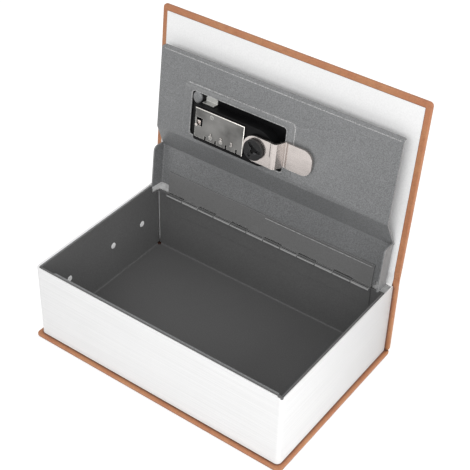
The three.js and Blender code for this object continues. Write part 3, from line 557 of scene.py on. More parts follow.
def rounded_outline(x0, x1, y0, y1, radius, steps=CORNER_STEPS):
    """Points round a rectangle with rounded corners, starting at the corner x1, y1."""
    x0, x1, y0, y1 = x0 + radius, x1 - radius, y0 + radius, y1 - radius
    points = []
    for quarter, (x, y) in enumerate(((x1, y1), (x0, y1), (x0, y0), (x1, y0))):
        for step in range(steps + 1):
            turn = (quarter + step / steps) * math.pi / 2
            points.append((x + radius * math.cos(turn), y + radius * math.sin(turn)))
    return points


def circle(scale_x, scale_y):
    """Points round an ellipse about the origin."""
    turns = [2 * math.pi * k / CIRCLE_POINTS for k in range(CIRCLE_POINTS)]
    return [(scale_x * math.cos(turn), scale_y * math.sin(turn)) for turn in turns]


def add_rings(bm, rings, place):
    """Walls through rings of points, with the first and the last ring filled."""
    rows = [[bm.verts.new(place @ Vector(point)) for point in ring] for ring in rings]
    for below, above in zip(rows, rows[1:]):
        for k in range(len(below)):
            after = (k + 1) % len(below)
            bm.faces.new((below[k], below[after], above[after], above[k]))
    bm.faces.new(rows[0][::-1])
    bm.faces.new(rows[-1])


def skin(name, rings, place, material):
    """A closed shape through rings, with smooth shading."""
    bm = bmesh.new()
    add_rings(bm, rings, place)
    bmesh.ops.recalc_face_normals(bm, faces=bm.faces)
    obj = object_from(bm, name, material)
    obj.data.shade_smooth()
    obj.data.set_sharp_from_angle(angle=SKIN_SHARP)
    return obj


print("corner steps:", CORNER_STEPS)

# %% [markdown]
# The steel comes first: the folded box, the angle that the cam catches, both leaves of the
# piano hinge, its pin, and the pressed lid. Sheet metal is cut and bent, so its corners are
# rounded by only a fraction of a millimetre, the last number of each row.

# %% Steel pieces
for row in (
    ("steel_box", "base", box_paint, "box_paint", 0.25),
    ("lock_ledge", "base", lid_paint, "lid_paint", 0.25),
    ("box_hinge_leaf", "base", box_paint, "box_paint", 0.12),
    ("hinge_pin", "base", spring_steel, "spring_steel", 0.12),
    ("lid_hinge_leaf", "lid", leaf_paint, "lid_paint", 0.12),
    ("lid_plate", "lid", lid_paint, "lid_paint", 0.25),
):
    dress(*row)

# %% [markdown]
# A knuckle is rolled from its leaf. A thin pale strip on the front of the barrel is a
# painted highlight along it. Higher up, a thin dark strip paints the shadow in the crevice
# where the barrel meets the leaf. A line of small strips makes each of them, one on each
# knuckle: the even ones belong to the leaf on the box and the odd ones to the leaf on the lid,
# so each set rides with its own.

# %% Painted highlight and shadow on the hinge
KNUCKLES = 12
KNUCKLE_STRIP_GAP = 0.9 * MM
ROLL_HIGHLIGHT = (math.radians(-6), math.radians(22), 0.12 * MM)
CREVICE_SHADOW_RISE = 0.06 * MM
ROLL_SHADOW = (math.radians(47), math.radians(60), CREVICE_SHADOW_RISE)
ROLL_STEPS = 3
LEAF_SHADOW_REACH = 1.12
LEAF_SHADOW_HALF = 0.2 * MM
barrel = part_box("box_hinge_leaf")[1].z - LID_HINGE.z


def arc_profile(start, end, rise):
    """The outline of a thin strip that lies on the barrel, between two angles."""
    turns = [start + (end - start) * step / ROLL_STEPS for step in range(ROLL_STEPS + 1)]
    outer, inner = [[(-radius * math.cos(turn), radius * math.sin(turn)) for turn in turns]
                    for radius in (barrel + rise, barrel - rise)]
    return outer + inner[::-1]


def leaf_profile(rise):
    """The same on the lid's leaf, where it leaves the barrel flush with its side."""
    corners = ((-1, -1), (1, -1), (1, 1), (-1, 1))
    points = [lid_turn @ Vector((0, side * LEAF_SHADOW_HALF - LEAF_SHADOW_REACH * barrel,
                                 way * rise - barrel)) for side, way in corners]
    return [(point.y, point.z) for point in points]


def roll_strips(name, body, first, profile, material):
    """One outline drawn out along every second knuckle."""
    low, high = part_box("hinge_pin")
    pitch = (high.x - low.x) / KNUCKLES
    hinge_line = Matrix.Translation((0, LID_HINGE.y, LID_HINGE.z))
    bm = bmesh.new()
    for knuckle in range(first, KNUCKLES, 2):
        start = low.x + knuckle * pitch + KNUCKLE_STRIP_GAP / 2
        ends = (start, start + pitch - KNUCKLE_STRIP_GAP)
        add_rings(bm, [[(x, y, z) for y, z in profile] for x in ends], hinge_line)
    bmesh.ops.recalc_face_normals(bm, faces=bm.faces)
    belongs(object_from(bm, name, material), body)


# Pale strips: a painted highlight on the knuckles.
roll_strips("box_roll_highlights", "base", 0, arc_profile(*ROLL_HIGHLIGHT), bare_steel_and_glint)
roll_strips("lid_roll_highlights", "lid", 1, arc_profile(*ROLL_HIGHLIGHT), bare_steel_and_glint)
# Dark strips: painted shadow in the crevice above the barrel.
roll_strips("box_roll_shadows", "base", 0, arc_profile(*ROLL_SHADOW), crevice_shadow)
roll_strips("lid_roll_shadows", "lid", 1, leaf_profile(CREVICE_SHADOW_RISE), crevice_shadow)

# %% [markdown]
# The lock's pieces are small castings and stampings. The cam is a thick nickel-plated
# strip: its edges are rolled round before plating, and each catches a bright line of light.

# %% Lock pieces
for row in (
    ("lock_housing", "lid", lock_black, "lock_black", 0.35),
    ("lock_bezel", "lid", lock_black, "lock_black", 0.4),
    ("lock_back_plate", "lid", zinc, "zinc", 0.25),
    ("lock_clip", "lid", clip_steel, "nickel", 0.12),
    ("wheel_axle", "lid", spring_steel, "spring_steel", 0.15),
    ("wheel_spring", "lid", spring_steel, "spring_steel", 0.08),
    ("locking_bar", "bar", zinc, "zinc", 0.15),
    ("code_change_lever", "change_lever", nickel, "nickel", 0.25),
    ("cam_lever", "knob", nickel, "nickel", 0.45),
    ("spindle", "knob", lock_black, "lock_black", 0.2),
    ("cam_end_cap", "knob", cap_black, "lock_black", 0.3),
    ("turn_knob", "knob", lock_black, "lock_black", 0.4),
):
    dress(*row)
WHEELS = (1, 2, 3)
for number in WHEELS:
    body = f"wheel_{number}"
    dress(f"number_wheel_{number}", body, wheel_metal, "wheel_metal", 0.2)
    dress(f"code_sleeve_{number}", body, spring_steel, "spring_steel", 0.12)

# %% [markdown]
# Each number wheel carries the figures 0 to 9 between its flutes. Blender's own text
# object draws them: each figure is a thin raised shape, turned into a mesh, moved to the
# rim of its wheel and turned round the axle. All the figures of one wheel are then one piece.

# %% Figures on the number wheels
FIGURES = 10
FIGURE_HEIGHT = 3.0 * MM
FIGURE_RELIEF = 0.04 * MM
FIGURE_SHARE_OF_FONT = 0.7
FIGURE_CURVE_STEPS = 3
FIGURE_MERGE = 1e-7


def add_figure(bm, body, tall, relief, place):
    """One raised figure in a mesh, at a place whose third axis it faces."""
    text = bpy.data.curves.new("figure", "FONT")
    text.body = body
    text.size = tall / FIGURE_SHARE_OF_FONT
    text.align_x = "CENTER"
    text.align_y = "CENTER"
    text.extrude = relief
    text.resolution_u = FIGURE_CURVE_STEPS
    carrier = bpy.data.objects.new("figure", text)
    mesh = bpy.data.meshes.new_from_object(carrier)
    mesh.transform(place)
    bm.from_mesh(mesh)
    bpy.data.meshes.remove(mesh)
    bpy.data.objects.remove(carrier)
    bpy.data.curves.remove(text)


def add_wheel_figures(number):
    """The ten figures of one wheel, in place round its axle."""
    low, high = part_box(f"number_wheel_{number}")
    axle = Matrix.Translation((low + high) / 2) @ lid_turn
    outward = Matrix.Translation((0, 0, (high.y - low.y) / 2))
    bm = bmesh.new()
    for figure in range(FIGURES):
        turn = Matrix.Rotation(2 * math.pi * figure / FIGURES, 4, "X")
        add_figure(bm, str(figure), FIGURE_HEIGHT, FIGURE_RELIEF, axle @ turn @ outward)
    bmesh.ops.remove_doubles(bm, verts=bm.verts, dist=FIGURE_MERGE)
    figures = object_from(bm, f"wheel_{number}_figures", ink)
    belongs(figures, f"wheel_{number}")


for number in WHEELS:
    add_wheel_figures(number)

# %% [markdown]
# The zinc plate has a raised figure between each two of its notches, one for each wheel.
# They are cast with the plate and rubbed bright. The drawing plane is the plate's outer
# face, which looks away from the lid.

# %% Raised marks on the back plate
MARK_HEIGHT = 3.2 * MM
MARK_RELIEF = 0.18 * MM
MARK_FROM_EDGE = 5.2 * MM
NOTCH_PITCH = 9.3 * MM
FIRST_NOTCH_FROM_END = 10.0 * MM


def in_lid(node):
    """The lowest and highest corners of a measured piece, as if the lid lay shut."""
    back = lid_place.inverted()
    axes = list(zip(*(back @ vertex.co for vertex in frame["nodes"][node].data.vertices)))
    return Vector([min(values) for values in axes]), Vector([max(values) for values in axes])


plate_low, plate_high = in_lid("lock_back_plate")
bm = bmesh.new()
for number in WHEELS:
    x = plate_low.x + FIRST_NOTCH_FROM_END + (number - 0.5) * NOTCH_PITCH
    y = plate_high.y - MARK_FROM_EDGE
    mark_place = Matrix.Translation((x, y, plate_low.z)) @ Matrix.Rotation(math.pi, 4, "X")
    add_figure(bm, str(number), MARK_HEIGHT, MARK_RELIEF, lid_place @ mark_place)
bmesh.ops.remove_doubles(bm, verts=bm.verts, dist=FIGURE_MERGE)
belongs(object_from(bm, "plate_marks", nickel), "lid")
print("back plate in mm:", [round(v / MM, 1) for v in (*plate_low, *plate_high)])

# %% [markdown]
# A cover is a board with leatherette drawn over it and folded in on the inner side. Its
# edges are soft, and its corners are folded on a slant. The rings of a cover run from the
# middle of its outer face, round the soft edge, to the inner face, and end where the fold
# of the leatherette stops under the endpaper. At each corner the fold leaves a slanted
# groove, made by lowering the middle point of the corner.

# %% Covers in leatherette
COVER_HALF_THICKNESS = 1.6 * MM
COVER_EDGE_RADIUS = 1.1 * MM
COVER_CORNER_RADIUS = 3.0 * MM
SMALLEST_CORNER = 0.6 * MM
FACE_INSET = 0.35
FLAT_BORDER = 4
FOLD_INSET = 14.0 * MM
FOLD_DEPTH = 0.5 * MM
MITRE_DEPTH = 0.12 * MM
EDGE_STEPS = 6


def cover_rings(y0, y1, inner):
    """Rings of a board lying flat about height 0. inner is the endpaper's side, +1 or -1."""
    thick = COVER_HALF_THICKNESS
    radius = COVER_EDGE_RADIUS
    fold = min(FOLD_INSET, (y1 - y0) / 3)
    turns = [math.pi / 2 * step / EDGE_STEPS for step in range(EDGE_STEPS + 1)]
    arc = [(radius * (1 - math.sin(turn)), radius * (1 - math.cos(turn))) for turn in turns]
    stations = [(FACE_INSET * (y1 - y0), -thick, 0.0), (FLAT_BORDER * radius, -thick, 0.0)]
    stations += [(inset, rise - thick, 0.0) for inset, rise in arc]
    stations += [(inset, thick - drop, MITRE_DEPTH * step / EDGE_STEPS)
                 for step, (drop, inset) in enumerate(arc)]
    stations += [(fold, thick, MITRE_DEPTH), (fold + FOLD_DEPTH, thick - FOLD_DEPTH, 0.0)]
    rings = []
    for inset, z, groove in stations:
        corner = max(COVER_CORNER_RADIUS - inset, SMALLEST_CORNER)
        half = half_length - inset
        outline = rounded_outline(-half, half, y0 + inset, y1 - inset, corner)
        ring = []
        for k, (x, y) in enumerate(outline):
            middle = k % (CORNER_STEPS + 1) == CORNER_STEPS // 2
            ring.append((x, y, inner * (z - (groove if middle else 0.0))))
        rings.append(ring)
    return rings


def make_cover(name, node, body, y0, y1, inner, place):
    """The leatherette of one board, standing for the measured piece."""
    obj = skin(name, cover_rings(y0, y1, inner), place, leatherette)
    belongs(obj, body, node)


back_low, back_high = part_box("back_cloth")
spine_low, spine_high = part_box("spine_cloth")
half_length = (back_high.x - back_low.x) / 2
back_place = Matrix.Translation((0, 0, (back_low.z + back_high.z) / 2))
spine_y = (spine_low.y + spine_high.y) / 2
spine_place = Matrix.Translation((0, spine_y, 0)) @ Matrix.Rotation(math.pi / 2, 4, "X")
FOLD_GAP = SPINE_FOLD.z - spine_high.z
front_start = -CREASE_WIDTH - FOLD_GAP
front_end = back_low.y - back_high.y + COVER_HALF_THICKNESS
make_cover("back_cover_leatherette", "back_cloth", "base", back_low.y, back_high.y, 1, back_place)
make_cover("spine_leatherette", "spine_cloth", "base", spine_low.z, spine_high.z, 1, spine_place)
make_cover("front_cover_leatherette", "front_cloth", "front_cover",
           front_end, front_start, -1, cover_place)
print("cover reach in mm:", round(-front_end / MM, 1))

# %% [markdown]
# Between the spine and the front cover the leatherette is on its own, so it is thin there
# and bends. It folds along two lines, one beside each board. The strip is made in two halves
# that meet in its middle. Both halves lie in the plane of the front cover, and the strip is
# thinnest in its middle. Its ends reach a little into the boards.

# %% Strip between spine and cover
STRIP_HALF_THICKNESS = 1.35 * MM
STRIP_WAIST = 0.75 * MM
STRIP_REACH = 2.8 * MM
STRIP_ROWS = 16
STRIP_ROUNDNESS = 0.7
STRIP_CORNER_STEPS = 4
strip_start = FOLD_GAP + STRIP_REACH
strip_middle = -CREASE_WIDTH / 2
strip_end = -CREASE_WIDTH - strip_start


def stations_between(start, end, count):
    """Evenly spaced distances, both ends included."""
    return [start + (end - start) * row / count for row in range(count + 1)]


def crease_half(name, y_start, y_end):
    """Half of the folding strip, between two distances from the spine's fold."""
    rings = []
    for y in stations_between(y_start, y_end, STRIP_ROWS):
        swell = min(1.0, (abs(y - strip_middle) / (CREASE_WIDTH / 2)) ** 2)
        half = STRIP_WAIST + (STRIP_HALF_THICKNESS - STRIP_WAIST) * swell
        outline = rounded_outline(-half_length, half_length, -half, half,
                                  half * STRIP_ROUNDNESS, STRIP_CORNER_STEPS)
        rings.append([(x, y, z) for x, z in outline])
    obj = skin(name, rings, cover_place, leatherette)
    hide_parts("cover_crease")
    return obj


def blend_halves(lower, upper):
    """Bakes the place of both halves into their meshes."""
    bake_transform(lower)
    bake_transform(upper)


blend_halves(crease_half("crease_strip_lower", strip_start, strip_middle),
             crease_half("crease_strip_upper", strip_middle, strip_end))
print("strip length in mm:", round((strip_start - strip_end) / MM, 1))

# %% [markdown]
# In a real book the endpaper runs on over the joint to the spine, so no leatherette shows
# between the cover's paper and the leaves. This strip of paper follows the same line on the
# inner side: flat on the cover, down into the fold, and flat on the spine. It is split in the
# middle of the crease as the leatherette is.

# %% Paper over the joint
PAPER_THICKNESS = 0.3 * MM
PAPER_GAP = 0.1 * MM
PAPER_GAP_AT_WAIST = 0.25 * MM
PAPER_REACH = 3.0 * MM
PAPER_ROWS = 12
paper_low, paper_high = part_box("front_endpaper")
paper_half = (paper_high.x - paper_low.x) / 2
paper_start = FOLD_GAP + PAPER_REACH
paper_end = max((cover_place.inverted() @ Vector((0, y, paper_low.z))).y
                for y in (paper_low.y, paper_high.y))
spine_slope = math.tan(-COVER_ANGLE - math.pi / 2)


def joint_paper_height(y):
    """How far the paper's middle stands off the cover's middle plane, at a place along it."""
    board_height = COVER_HALF_THICKNESS + PAPER_GAP + PAPER_THICKNESS / 2
    waist_height = STRIP_WAIST + PAPER_GAP_AT_WAIST + PAPER_THICKNESS / 2
    rise = min(1.0, abs(y - strip_middle) / (CREASE_WIDTH / 2 + FOLD_GAP))
    rise = rise * rise * (3 - 2 * rise)
    return waist_height + (board_height - waist_height) * rise + max(0.0, y) * spine_slope


def joint_paper(name, y_start, y_end):
    """A strip of paper between two distances from the spine's fold."""
    rings = []
    for y in stations_between(y_start, y_end, PAPER_ROWS):
        near = joint_paper_height(y) - PAPER_THICKNESS / 2
        far = near + PAPER_THICKNESS
        rings.append([(-paper_half, y, -near), (paper_half, y, -near),
                      (paper_half, y, -far), (-paper_half, y, -far)])
    obj = skin(name, rings, cover_place, endpaper)
    return obj


blend_halves(joint_paper("joint_paper_lower", paper_start, strip_middle),
             joint_paper("joint_paper_upper", strip_middle, paper_end))
print("paper over the joint in mm:", round((paper_start - paper_end) / MM, 1))

# %% [markdown]
# The endpapers, the lining of the spine and the grey boards have the right shape already,
# so they only need a finish.

# %% Paper and board
def paint_node(node, material):
    """Keeps a measured piece as it is and gives it a finish."""
    mesh = frame["nodes"][node].data
    mesh.materials.clear()
    mesh.materials.append(material)


for node in ("back_endpaper", "front_endpaper", "spine_lining"):
    paint_node(node, endpaper)
for node in ("back_board", "front_board", "spine_board"):
    paint_node(node, board)
print("papers and boards painted")

# %% [markdown]
# The page block repeats one thing over and over: a leaf. Geometry Nodes suit that. The host
# is a closed line round the block, in the middle of its wall. The tree sweeps a flat profile
# along the line to get one leaf, sets copies of it on a vertical row of points, and shifts
# each a hair to one side, so that light catches the uneven edges as it does on real pages.

# %% Geometry Nodes: a stack of leaves
def sweep_line(tree, given, profile, fill_caps=False):
    """A curve swept along the host's line, as a mesh."""
    line = add_node(tree, "GeometryNodeMeshToCurve", {"Mesh": given["Geometry"]})
    return add_node(tree, "GeometryNodeCurveToMesh", {
        "Curve": line.outputs["Curve"],
        "Profile Curve": profile.outputs["Curve"],
        "Fill Caps": fill_caps,
    }).outputs["Mesh"]


def end_tree(tree, given, result, geometry):
    """Makes instances real, sets the material and hands the geometry out."""
    real = add_node(tree, "GeometryNodeRealizeInstances", {"Geometry": geometry})
    links = {"Geometry": real.outputs["Geometry"], "Material": given["Material"]}
    painted = add_node(tree, "GeometryNodeSetMaterial", links)
    tree.links.new(painted.outputs["Geometry"], result["Geometry"])
    print("tree:", tree.name, len(tree.nodes), "nodes")


def run_tree(obj, tree, values):
    """Runs a tree on its host. Each value is set by its socket's identifier."""
    modifier = obj.modifiers.new(tree.name, "NODES")
    modifier.node_group = tree
    identifiers = {item.name: item.identifier for item in tree.interface.items_tree
                   if item.item_type == "SOCKET" and item.in_out == "INPUT"}
    for label, value in values.items():
        modifier[identifiers[label]] = value
    finish_mesh(obj)


leaf_stack, given, result = node_group("GeometryNodeTree", "leaf_stack", {
    "Geometry": "Geometry",
    "Leaves": 140,
    "Height": 63.0 * MM,
    "Wall": 1.4 * MM,
    "Shift": 0.05 * MM,
    "Seed": 4,
    "Material": "Material",
}, {"Geometry": "Geometry"})
pitch = math_node(leaf_stack, "DIVIDE", given["Height"], given["Leaves"])
profile = add_node(leaf_stack, "GeometryNodeCurvePrimitiveQuadrilateral",
                   {"Width": given["Wall"], "Height": pitch}, mode="RECTANGLE")
leaf = sweep_line(leaf_stack, given, profile)
half_pitch = math_node(leaf_stack, "MULTIPLY", pitch, 0.5)
lowest_leaf = add_node(leaf_stack, "ShaderNodeCombineXYZ", {"Z": half_pitch})
next_leaf = add_node(leaf_stack, "ShaderNodeCombineXYZ", {"Z": pitch})
points = add_node(leaf_stack, "GeometryNodeMeshLine", {
    "Count": given["Leaves"],
    "Start Location": lowest_leaf.outputs["Vector"],
    "Offset": next_leaf.outputs["Vector"],
}, mode="OFFSET")
placed = add_node(leaf_stack, "GeometryNodeInstanceOnPoints",
                  {"Points": points.outputs["Mesh"], "Instance": leaf})
shift = given["Shift"]
back = math_node(leaf_stack, "MULTIPLY", shift, -1.0)
furthest_back = add_node(leaf_stack, "ShaderNodeCombineXYZ", {"X": back, "Y": back})
furthest_on = add_node(leaf_stack, "ShaderNodeCombineXYZ", {"X": shift, "Y": shift})
random = add_node(leaf_stack, "FunctionNodeRandomValue", {
    "Min": furthest_back.outputs["Vector"],
    "Max": furthest_on.outputs["Vector"],
    "Seed": given["Seed"],
}, data_type="FLOAT_VECTOR")
moved = add_node(leaf_stack, "GeometryNodeTranslateInstances", {
    "Instances": placed.outputs["Instances"],
    "Translation": random.outputs["Value"],
})
end_tree(leaf_stack, given, result, moved.outputs["Instances"])

# %% [markdown]
# The line follows the measured block: square corners at the spine, rounded ones at the
# fore-edge. It stays inside the block's outline by half a wall and the largest shift.

# %% The page block
LEAF_COUNT = 140
LEAF_WALL = 1.3 * MM
LEAF_SHIFT = 0.035 * MM
FORE_EDGE_RADIUS = 3.5 * MM


def line_object(name, points, closed, material):
    """A host that is only a line through points."""
    count = len(points)
    edges = [(k, (k + 1) % count) for k in range(count if closed else count - 1)]
    mesh = bpy.data.meshes.new(name)
    mesh.from_pydata(points, edges, [])
    return add_object(name, mesh, material)


def page_outline(low, high):
    """Points round the middle of the page block's wall."""
    inset = LEAF_WALL / 2 + LEAF_SHIFT
    x0, x1 = low.x + inset, high.x - inset
    y0, y1 = low.y + inset, high.y - inset
    radius = FORE_EDGE_RADIUS - inset
    fore_corners = rounded_outline(x0, x1, y0, y1, radius)[2 * (CORNER_STEPS + 1):]
    return [(x, y, low.z) for x, y in [(x1, y1), (x0, y1), *fore_corners]]


block_low, block_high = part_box("page_block")
pages = line_object("page_block_leaves", page_outline(block_low, block_high), True, page_edges)
run_tree(pages, leaf_stack, {
    "Leaves": LEAF_COUNT,
    "Height": block_high.z - block_low.z,
    "Wall": LEAF_WALL,
    "Shift": LEAF_SHIFT,
    "Material": page_edges,
})
belongs(pages, "base", "page_block")

# %% [markdown]
# Where the press has stretched the lid's sheet, its edge is rounded and the light catches
# it. Such an edge is a low bead that follows a line, and its lighter paint is a painted
# highlight. One small Geometry Nodes tree sweeps a round profile along its host.

# %% Geometry Nodes: a bead along a line
pressed_bead, given, result = node_group(
    "GeometryNodeTree", "pressed_bead",
    {"Geometry": "Geometry", "Width": 0.8 * MM, "Round Steps": 8, "Material": "Material"},
    {"Geometry": "Geometry"},
)
bead_radius = math_node(pressed_bead, "MULTIPLY", given["Width"], 0.5)
profile = add_node(pressed_bead, "GeometryNodeCurvePrimitiveCircle",
                   {"Resolution": given["Round Steps"], "Radius": bead_radius}, mode="RADIUS")
swept = sweep_line(pressed_bead, given, profile, fill_caps=True)
end_tree(pressed_bead, given, result, swept)

# %% [markdown]
# Five lines get a bead with a painted highlight: the free edge of the lid's hinge leaf along
# its right half, the upper side and right corner of the border round the lock's cut-out, the
# cut-out's own edge, the bend of the hem, and the upper and right edges of the zinc plate,
# whose bead is near-white metal. The lines are drawn as if the lid lay shut. A width is in
# millimetres, and a share of it is sunk in the sheet.

# %% Beads on the lid and the plate
CUTOUT = (-70.4 * MM, 13.0 * MM, -104.8 * MM, -68.3 * MM)
CUTOUT_RADIUS = 2.8 * MM
BORDER = (-76.8 * MM, 19.4 * MM, -109.7 * MM, -66.6 * MM)
BORDER_RADIUS = 3.2 * MM
BORDER_END = 16.0 * MM
POCKET_HEIGHT = -10.7 * MM
PLATE_HEIGHT = -9.9 * MM
HEM_LINE = 127.9 * MM
HEM_HALF = 99.0 * MM
LEAF_EDGE_FROM = 0.5
LEAF_EDGE_INSET = 0.4 * MM
BEAD_SINK = 0.25


def bead(name, points, width, height, material, closed=False):
    """A low bead along points of the shut lid."""
    width = width * MM
    line = [(x, y, height + BEAD_SINK * width) for x, y in points]
    obj = line_object(name, line, closed, material)
    run_tree(obj, pressed_bead, {"Width": width, "Material": material})
    bm = bmesh.new()
    bm.from_mesh(obj.data)
    bmesh.ops.transform(bm, matrix=lid_place, verts=bm.verts)
    bmesh.ops.recalc_face_normals(bm, faces=bm.faces)
    bm.to_mesh(obj.data)
    bm.free()
    obj.data.shade_smooth()
    belongs(obj, "lid")


leaf_low, leaf_high = in_lid("lid_hinge_leaf")
leaf_from = leaf_low.x + LEAF_EDGE_FROM * (leaf_high.x - leaf_low.x)
leaf_y = leaf_low.y + LEAF_EDGE_INSET
leaf_points = [(leaf_from, leaf_y), (leaf_high.x - LEAF_EDGE_INSET, leaf_y)]
border_points = rounded_outline(*BORDER, BORDER_RADIUS)[3 * (CORNER_STEPS + 1) - 1:]
border_points.append((BORDER[1], BORDER[2] + BORDER_END))
cutout_points = rounded_outline(*CUTOUT, CUTOUT_RADIUS)
hem_points = [(-HEM_HALF, -HEM_LINE), (HEM_HALF, -HEM_LINE)]
plate_points = [(plate_low.x, plate_low.y), (plate_high.x, plate_low.y),
                (plate_high.x, plate_high.y)]
# Each bead's lighter colour is a painted highlight.
bead("leaf_edge", leaf_points, 0.5, leaf_low.z, highlight_paint)
bead("border_bead", border_points, 1.0, POCKET_HEIGHT, highlight_paint)
bead("cutout_bead", cutout_points, 0.9, POCKET_HEIGHT, highlight_paint, closed=True)
bead("hem_bead", hem_points, 0.8, PLATE_HEIGHT, highlight_paint)
bead("plate_edge", plate_points, 0.8, plate_low.z, plate_edge_highlight)

# %% [markdown]
# Three small things finish the steel. A rounded grey lug stands on the lock's frame, in the
# corner of the cut-out beside the clip. The rim's right front corner ends in a tab on the
# leaves. And in the rear corners of the box's floor, the round holes that let the sheet bend
# are closed from below by a dark brown drop, which paints the shade in the holes. All are
# stacks of rings over an outline. A level of the lug or the shade drop is a share of its size
# and a height in millimetres.

# %% Lug, tab and painted shade in the corner holes
SHEET = 1.0 * MM
LUG_CENTRE = (-65.2 * MM, -100.2 * MM, 0.0)
LUG_HALF = (3.9 * MM, 4.6 * MM)
LUG_LEVELS = ((1.0, -9.35), (1.0, -10.7), (0.9, -11.1), (0.6, -11.4), (0.2, -11.5))
TAB = (103.0 * MM, 107.3 * MM, -76.6 * MM, -74.2 * MM)
TAB_RADIUS = 1.1 * MM
TAB_THICKNESS = 0.18 * MM
TAB_DEPTH = 0.8 * MM
TAB_EDGE_FROM = 0.6
TAB_EDGE_INSET = 0.2 * MM
HOLE_SHADE_RADIUS = 2.4 * MM
HOLE_SHADE_FROM_WALL = 0.6 * MM
HOLE_SHADE_LEVELS = ((0.9, -0.7), (1.0, -0.2), (0.85, 0.2), (0.5, 0.45), (0.15, 0.5))
SIDES = ((-1, "left"), (1, "right"))


def level_rings(centre, half_wide, half_tall, levels):
    """Level ellipses over one another, each a share of the size at its own height."""
    x0, y0, z0 = centre
    return [[(x0 + x, y0 + y, z0 + height * MM)
             for x, y in circle(half_wide * share, half_tall * share)]
            for share, height in levels]


lug = skin("frame_lug", level_rings(LUG_CENTRE, *LUG_HALF, LUG_LEVELS), lid_place, lid_paint)
belongs(lug, "lid")

rim = block_high.z
tab_rings = []
for inset, z in ((0.0, rim - TAB_DEPTH), (0.0, rim + TAB_EDGE_FROM * TAB_THICKNESS),
                 (TAB_EDGE_INSET, rim + TAB_THICKNESS)):
    outline = rounded_outline(TAB[0] + inset, TAB[1] - inset, TAB[2] + inset, TAB[3] - inset,
                              TAB_RADIUS - inset)
    tab_rings.append([(x, y, z) for x, y in outline])
belongs(skin("rim_corner_tab", tab_rings, in_place, box_paint), "base")

box_low, box_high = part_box("steel_box")
floor_top = box_low.z + SHEET
hole_shade_x = box_high.x - SHEET - HOLE_SHADE_FROM_WALL
hole_shade_y = box_high.y - SHEET - HOLE_SHADE_FROM_WALL
# A dark brown drop under each corner hole paints the hole's shade.
for side, side_name in SIDES:
    rings = level_rings((side * hole_shade_x, hole_shade_y, floor_top), HOLE_SHADE_RADIUS, HOLE_SHADE_RADIUS, HOLE_SHADE_LEVELS)
    belongs(skin(f"corner_hole_shade_{side_name}", rings, in_place, hole_shade), "base")

# %% [markdown]
# The box is folded from one sheet, and its walls meet in the corners. In the left rear corner
# the weld shows as a thin pale line, from a little below the rim to just above the floor. It
# is a low rounded ridge, half sunk in the wall, and it stays clear of the lid's flange when
# the lid is shut.

# %% Weld in the corner
SEAM_FROM_WALL = 0.8 * MM
SEAM_HALF_WIDE = 0.35 * MM
SEAM_RISE = 0.2 * MM
SEAM_TOP = 9.0 * MM
SEAM_LEVELS = 8
SEAM_SWELL = 0.25
SEAM_HALF_WAVES = 5
seam_x = box_low.x + SHEET + SEAM_FROM_WALL
seam_y = box_high.y - SHEET
seam_bottom = floor_top + 2 * HOLE_SHADE_RADIUS
seam_height = box_high.z - SEAM_TOP - seam_bottom
seam_rings = []
for level in range(SEAM_LEVELS + 1):
    share = level / SEAM_LEVELS
    half_wide = SEAM_HALF_WIDE * (1.0 + SEAM_SWELL * math.sin(SEAM_HALF_WAVES * math.pi * share))
    seam_rings.append([(seam_x + x, seam_y + y, seam_bottom + share * seam_height)
                       for x, y in circle(half_wide, SEAM_RISE)])
belongs(skin("corner_weld", seam_rings, in_place, bare_steel_and_glint), "base")

# %% [markdown]
# Six studs stand out of the block and fill the holes in the side walls of the steel box, so
# from inside each hole is a white dot. A stud is a round peg with a soft rim and a face that
# is a little hollow. Its levels are a distance from the safe's middle in millimetres and a
# share of its size.

# %% Studs in the wall holes
STUD_RADIUS = 2.6 * MM
STUD_HEIGHT = 36.15 * MM
STUD_SHARES = (0.22, 0.577, 0.826)
STUD_LEVELS = ((106.4, 1.0), (105.35, 1.0), (105.1, 0.93), (105.0, 0.8), (105.08, 0.45))
for side, side_name in SIDES:
    for number, share in enumerate(STUD_SHARES, 1):
        stud_y = block_low.y + share * (block_high.y - block_low.y)
        rings = [[(side * x * MM, stud_y + y, STUD_HEIGHT + z)
                  for y, z in circle(scale * STUD_RADIUS, scale * STUD_RADIUS)]
                 for x, scale in STUD_LEVELS]
        stud = skin(f"block_stud_{side_name}_{number}", rings, in_place, endpaper)
        belongs(stud, "base", "page_block")

# %% [markdown]
# The safe is shown on plain white, in soft light from all round. A wide lamp above the
# front does most of the work, a weaker one fills from the right, a small one from above, and
# the white world gives the rest. The floor and the world look white to the camera and in
# reflections, and the floor still takes the shadow of the safe.

# %% Floor, world and lamps
FLOOR_HALF = 3.0
FLOOR_DROP = 0.2 * MM
FLOOR_GREY = (0.8, 0.8, 0.8, 1.0)
FLOOR_GLOW = 0.5
WHITE = (1, 1, 1, 1)
WORLD_LIGHT = 0.55
LAMPS = (
    ("front_lamp", (0.3, -1.25, 0.85), (0, 0, 0.08), 1.0, 10.2),
    ("right_lamp", (1.3, -0.1, 0.65), (0, 0, 0.08), 0.9, 8.4),
    ("top_lamp", (0.0, 0.1, 1.4), (0, 0, 0.06), 0.8, 1.2),
)


def seen_directly(tree):
    """1 for rays from the camera, off a glossy face or through one, and 0 for diffuse light."""
    path = add_node(tree, "ShaderNodeLightPath").outputs
    seen = math_node(tree, "MAXIMUM", path["Is Camera Ray"], path["Is Glossy Ray"])
    return math_node(tree, "MAXIMUM", seen, path["Is Transmission Ray"])


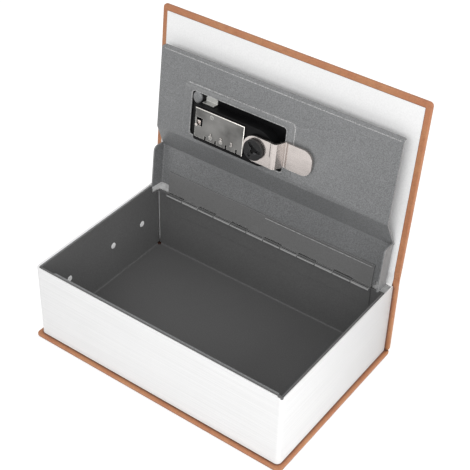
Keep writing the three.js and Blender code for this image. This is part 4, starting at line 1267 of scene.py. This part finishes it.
def make_floor():
    """A white plane that glows where it is seen, and only reflects where it lights the safe."""
    material, tree, shader, _ = new_finish("floor_white", 0.9, specular=0.0)
    shader.inputs["Base Color"].default_value = FLOOR_GREY
    plain = shader.outputs["BSDF"]
    glow = add_node(tree, "ShaderNodeEmission", {"Color": WHITE, "Strength": FLOOR_GLOW})
    both = add_node(tree, "ShaderNodeAddShader", {0: plain, 1: glow.outputs["Emission"]})
    links = {0: seen_directly(tree), 1: plain, 2: both.outputs["Shader"]}
    choose = add_node(tree, "ShaderNodeMixShader", links)
    output = next(node for node in tree.nodes if node.type == "OUTPUT_MATERIAL")
    tree.links.new(choose.outputs["Shader"], output.inputs["Surface"])
    mesh = bpy.data.meshes.new("floor")
    corners = ((-1, -1), (1, -1), (1, 1), (-1, 1))
    mesh.from_pydata([(x * FLOOR_HALF, y * FLOOR_HALF, 0) for x, y in corners], [], [(0, 1, 2, 3)])
    floor = add_object("floor", mesh, material)
    floor.location.z = -FLOOR_DROP
    floor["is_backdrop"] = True


def make_world():
    """White where it is seen, and weaker where it lights the safe."""
    scene.world = bpy.data.worlds.new("studio")
    scene.world.use_nodes = True
    tree = scene.world.node_tree
    tree.nodes.clear()
    extra = math_node(tree, "MULTIPLY", seen_directly(tree), 1.0 - WORLD_LIGHT)
    strength = math_node(tree, "ADD", extra, WORLD_LIGHT)
    background = add_node(tree, "ShaderNodeBackground", {"Color": WHITE, "Strength": strength})
    add_node(tree, "ShaderNodeOutputWorld", {"Surface": background.outputs["Background"]})


def add_lamp(name, place, target, size, power):
    """A square soft lamp that looks at a point."""
    light = bpy.data.lights.new(name, "AREA")
    light.shape = "SQUARE"
    light.size = size
    light.energy = power
    lamp = bpy.data.objects.new(name, light)
    lamp.location = place
    lamp.rotation_euler = (Vector(target) - Vector(place)).to_track_quat("-Z", "Y").to_euler()
    scene.collection.objects.link(lamp)


make_floor()
make_world()
for lamp in LAMPS:
    add_lamp(*lamp)
scene.view_settings.view_transform = "Standard"
print("lamps:", len(LAMPS))

# %% [markdown]
# The last cell compares the size of the finished safe with the measured one.

# %% Measure and finish
look_low, look_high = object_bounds()
spans = zip(cad_high - cad_low, look_high - look_low)
print("growth in mm:", [round((look - cad) / MM, 2) for cad, look in spans])
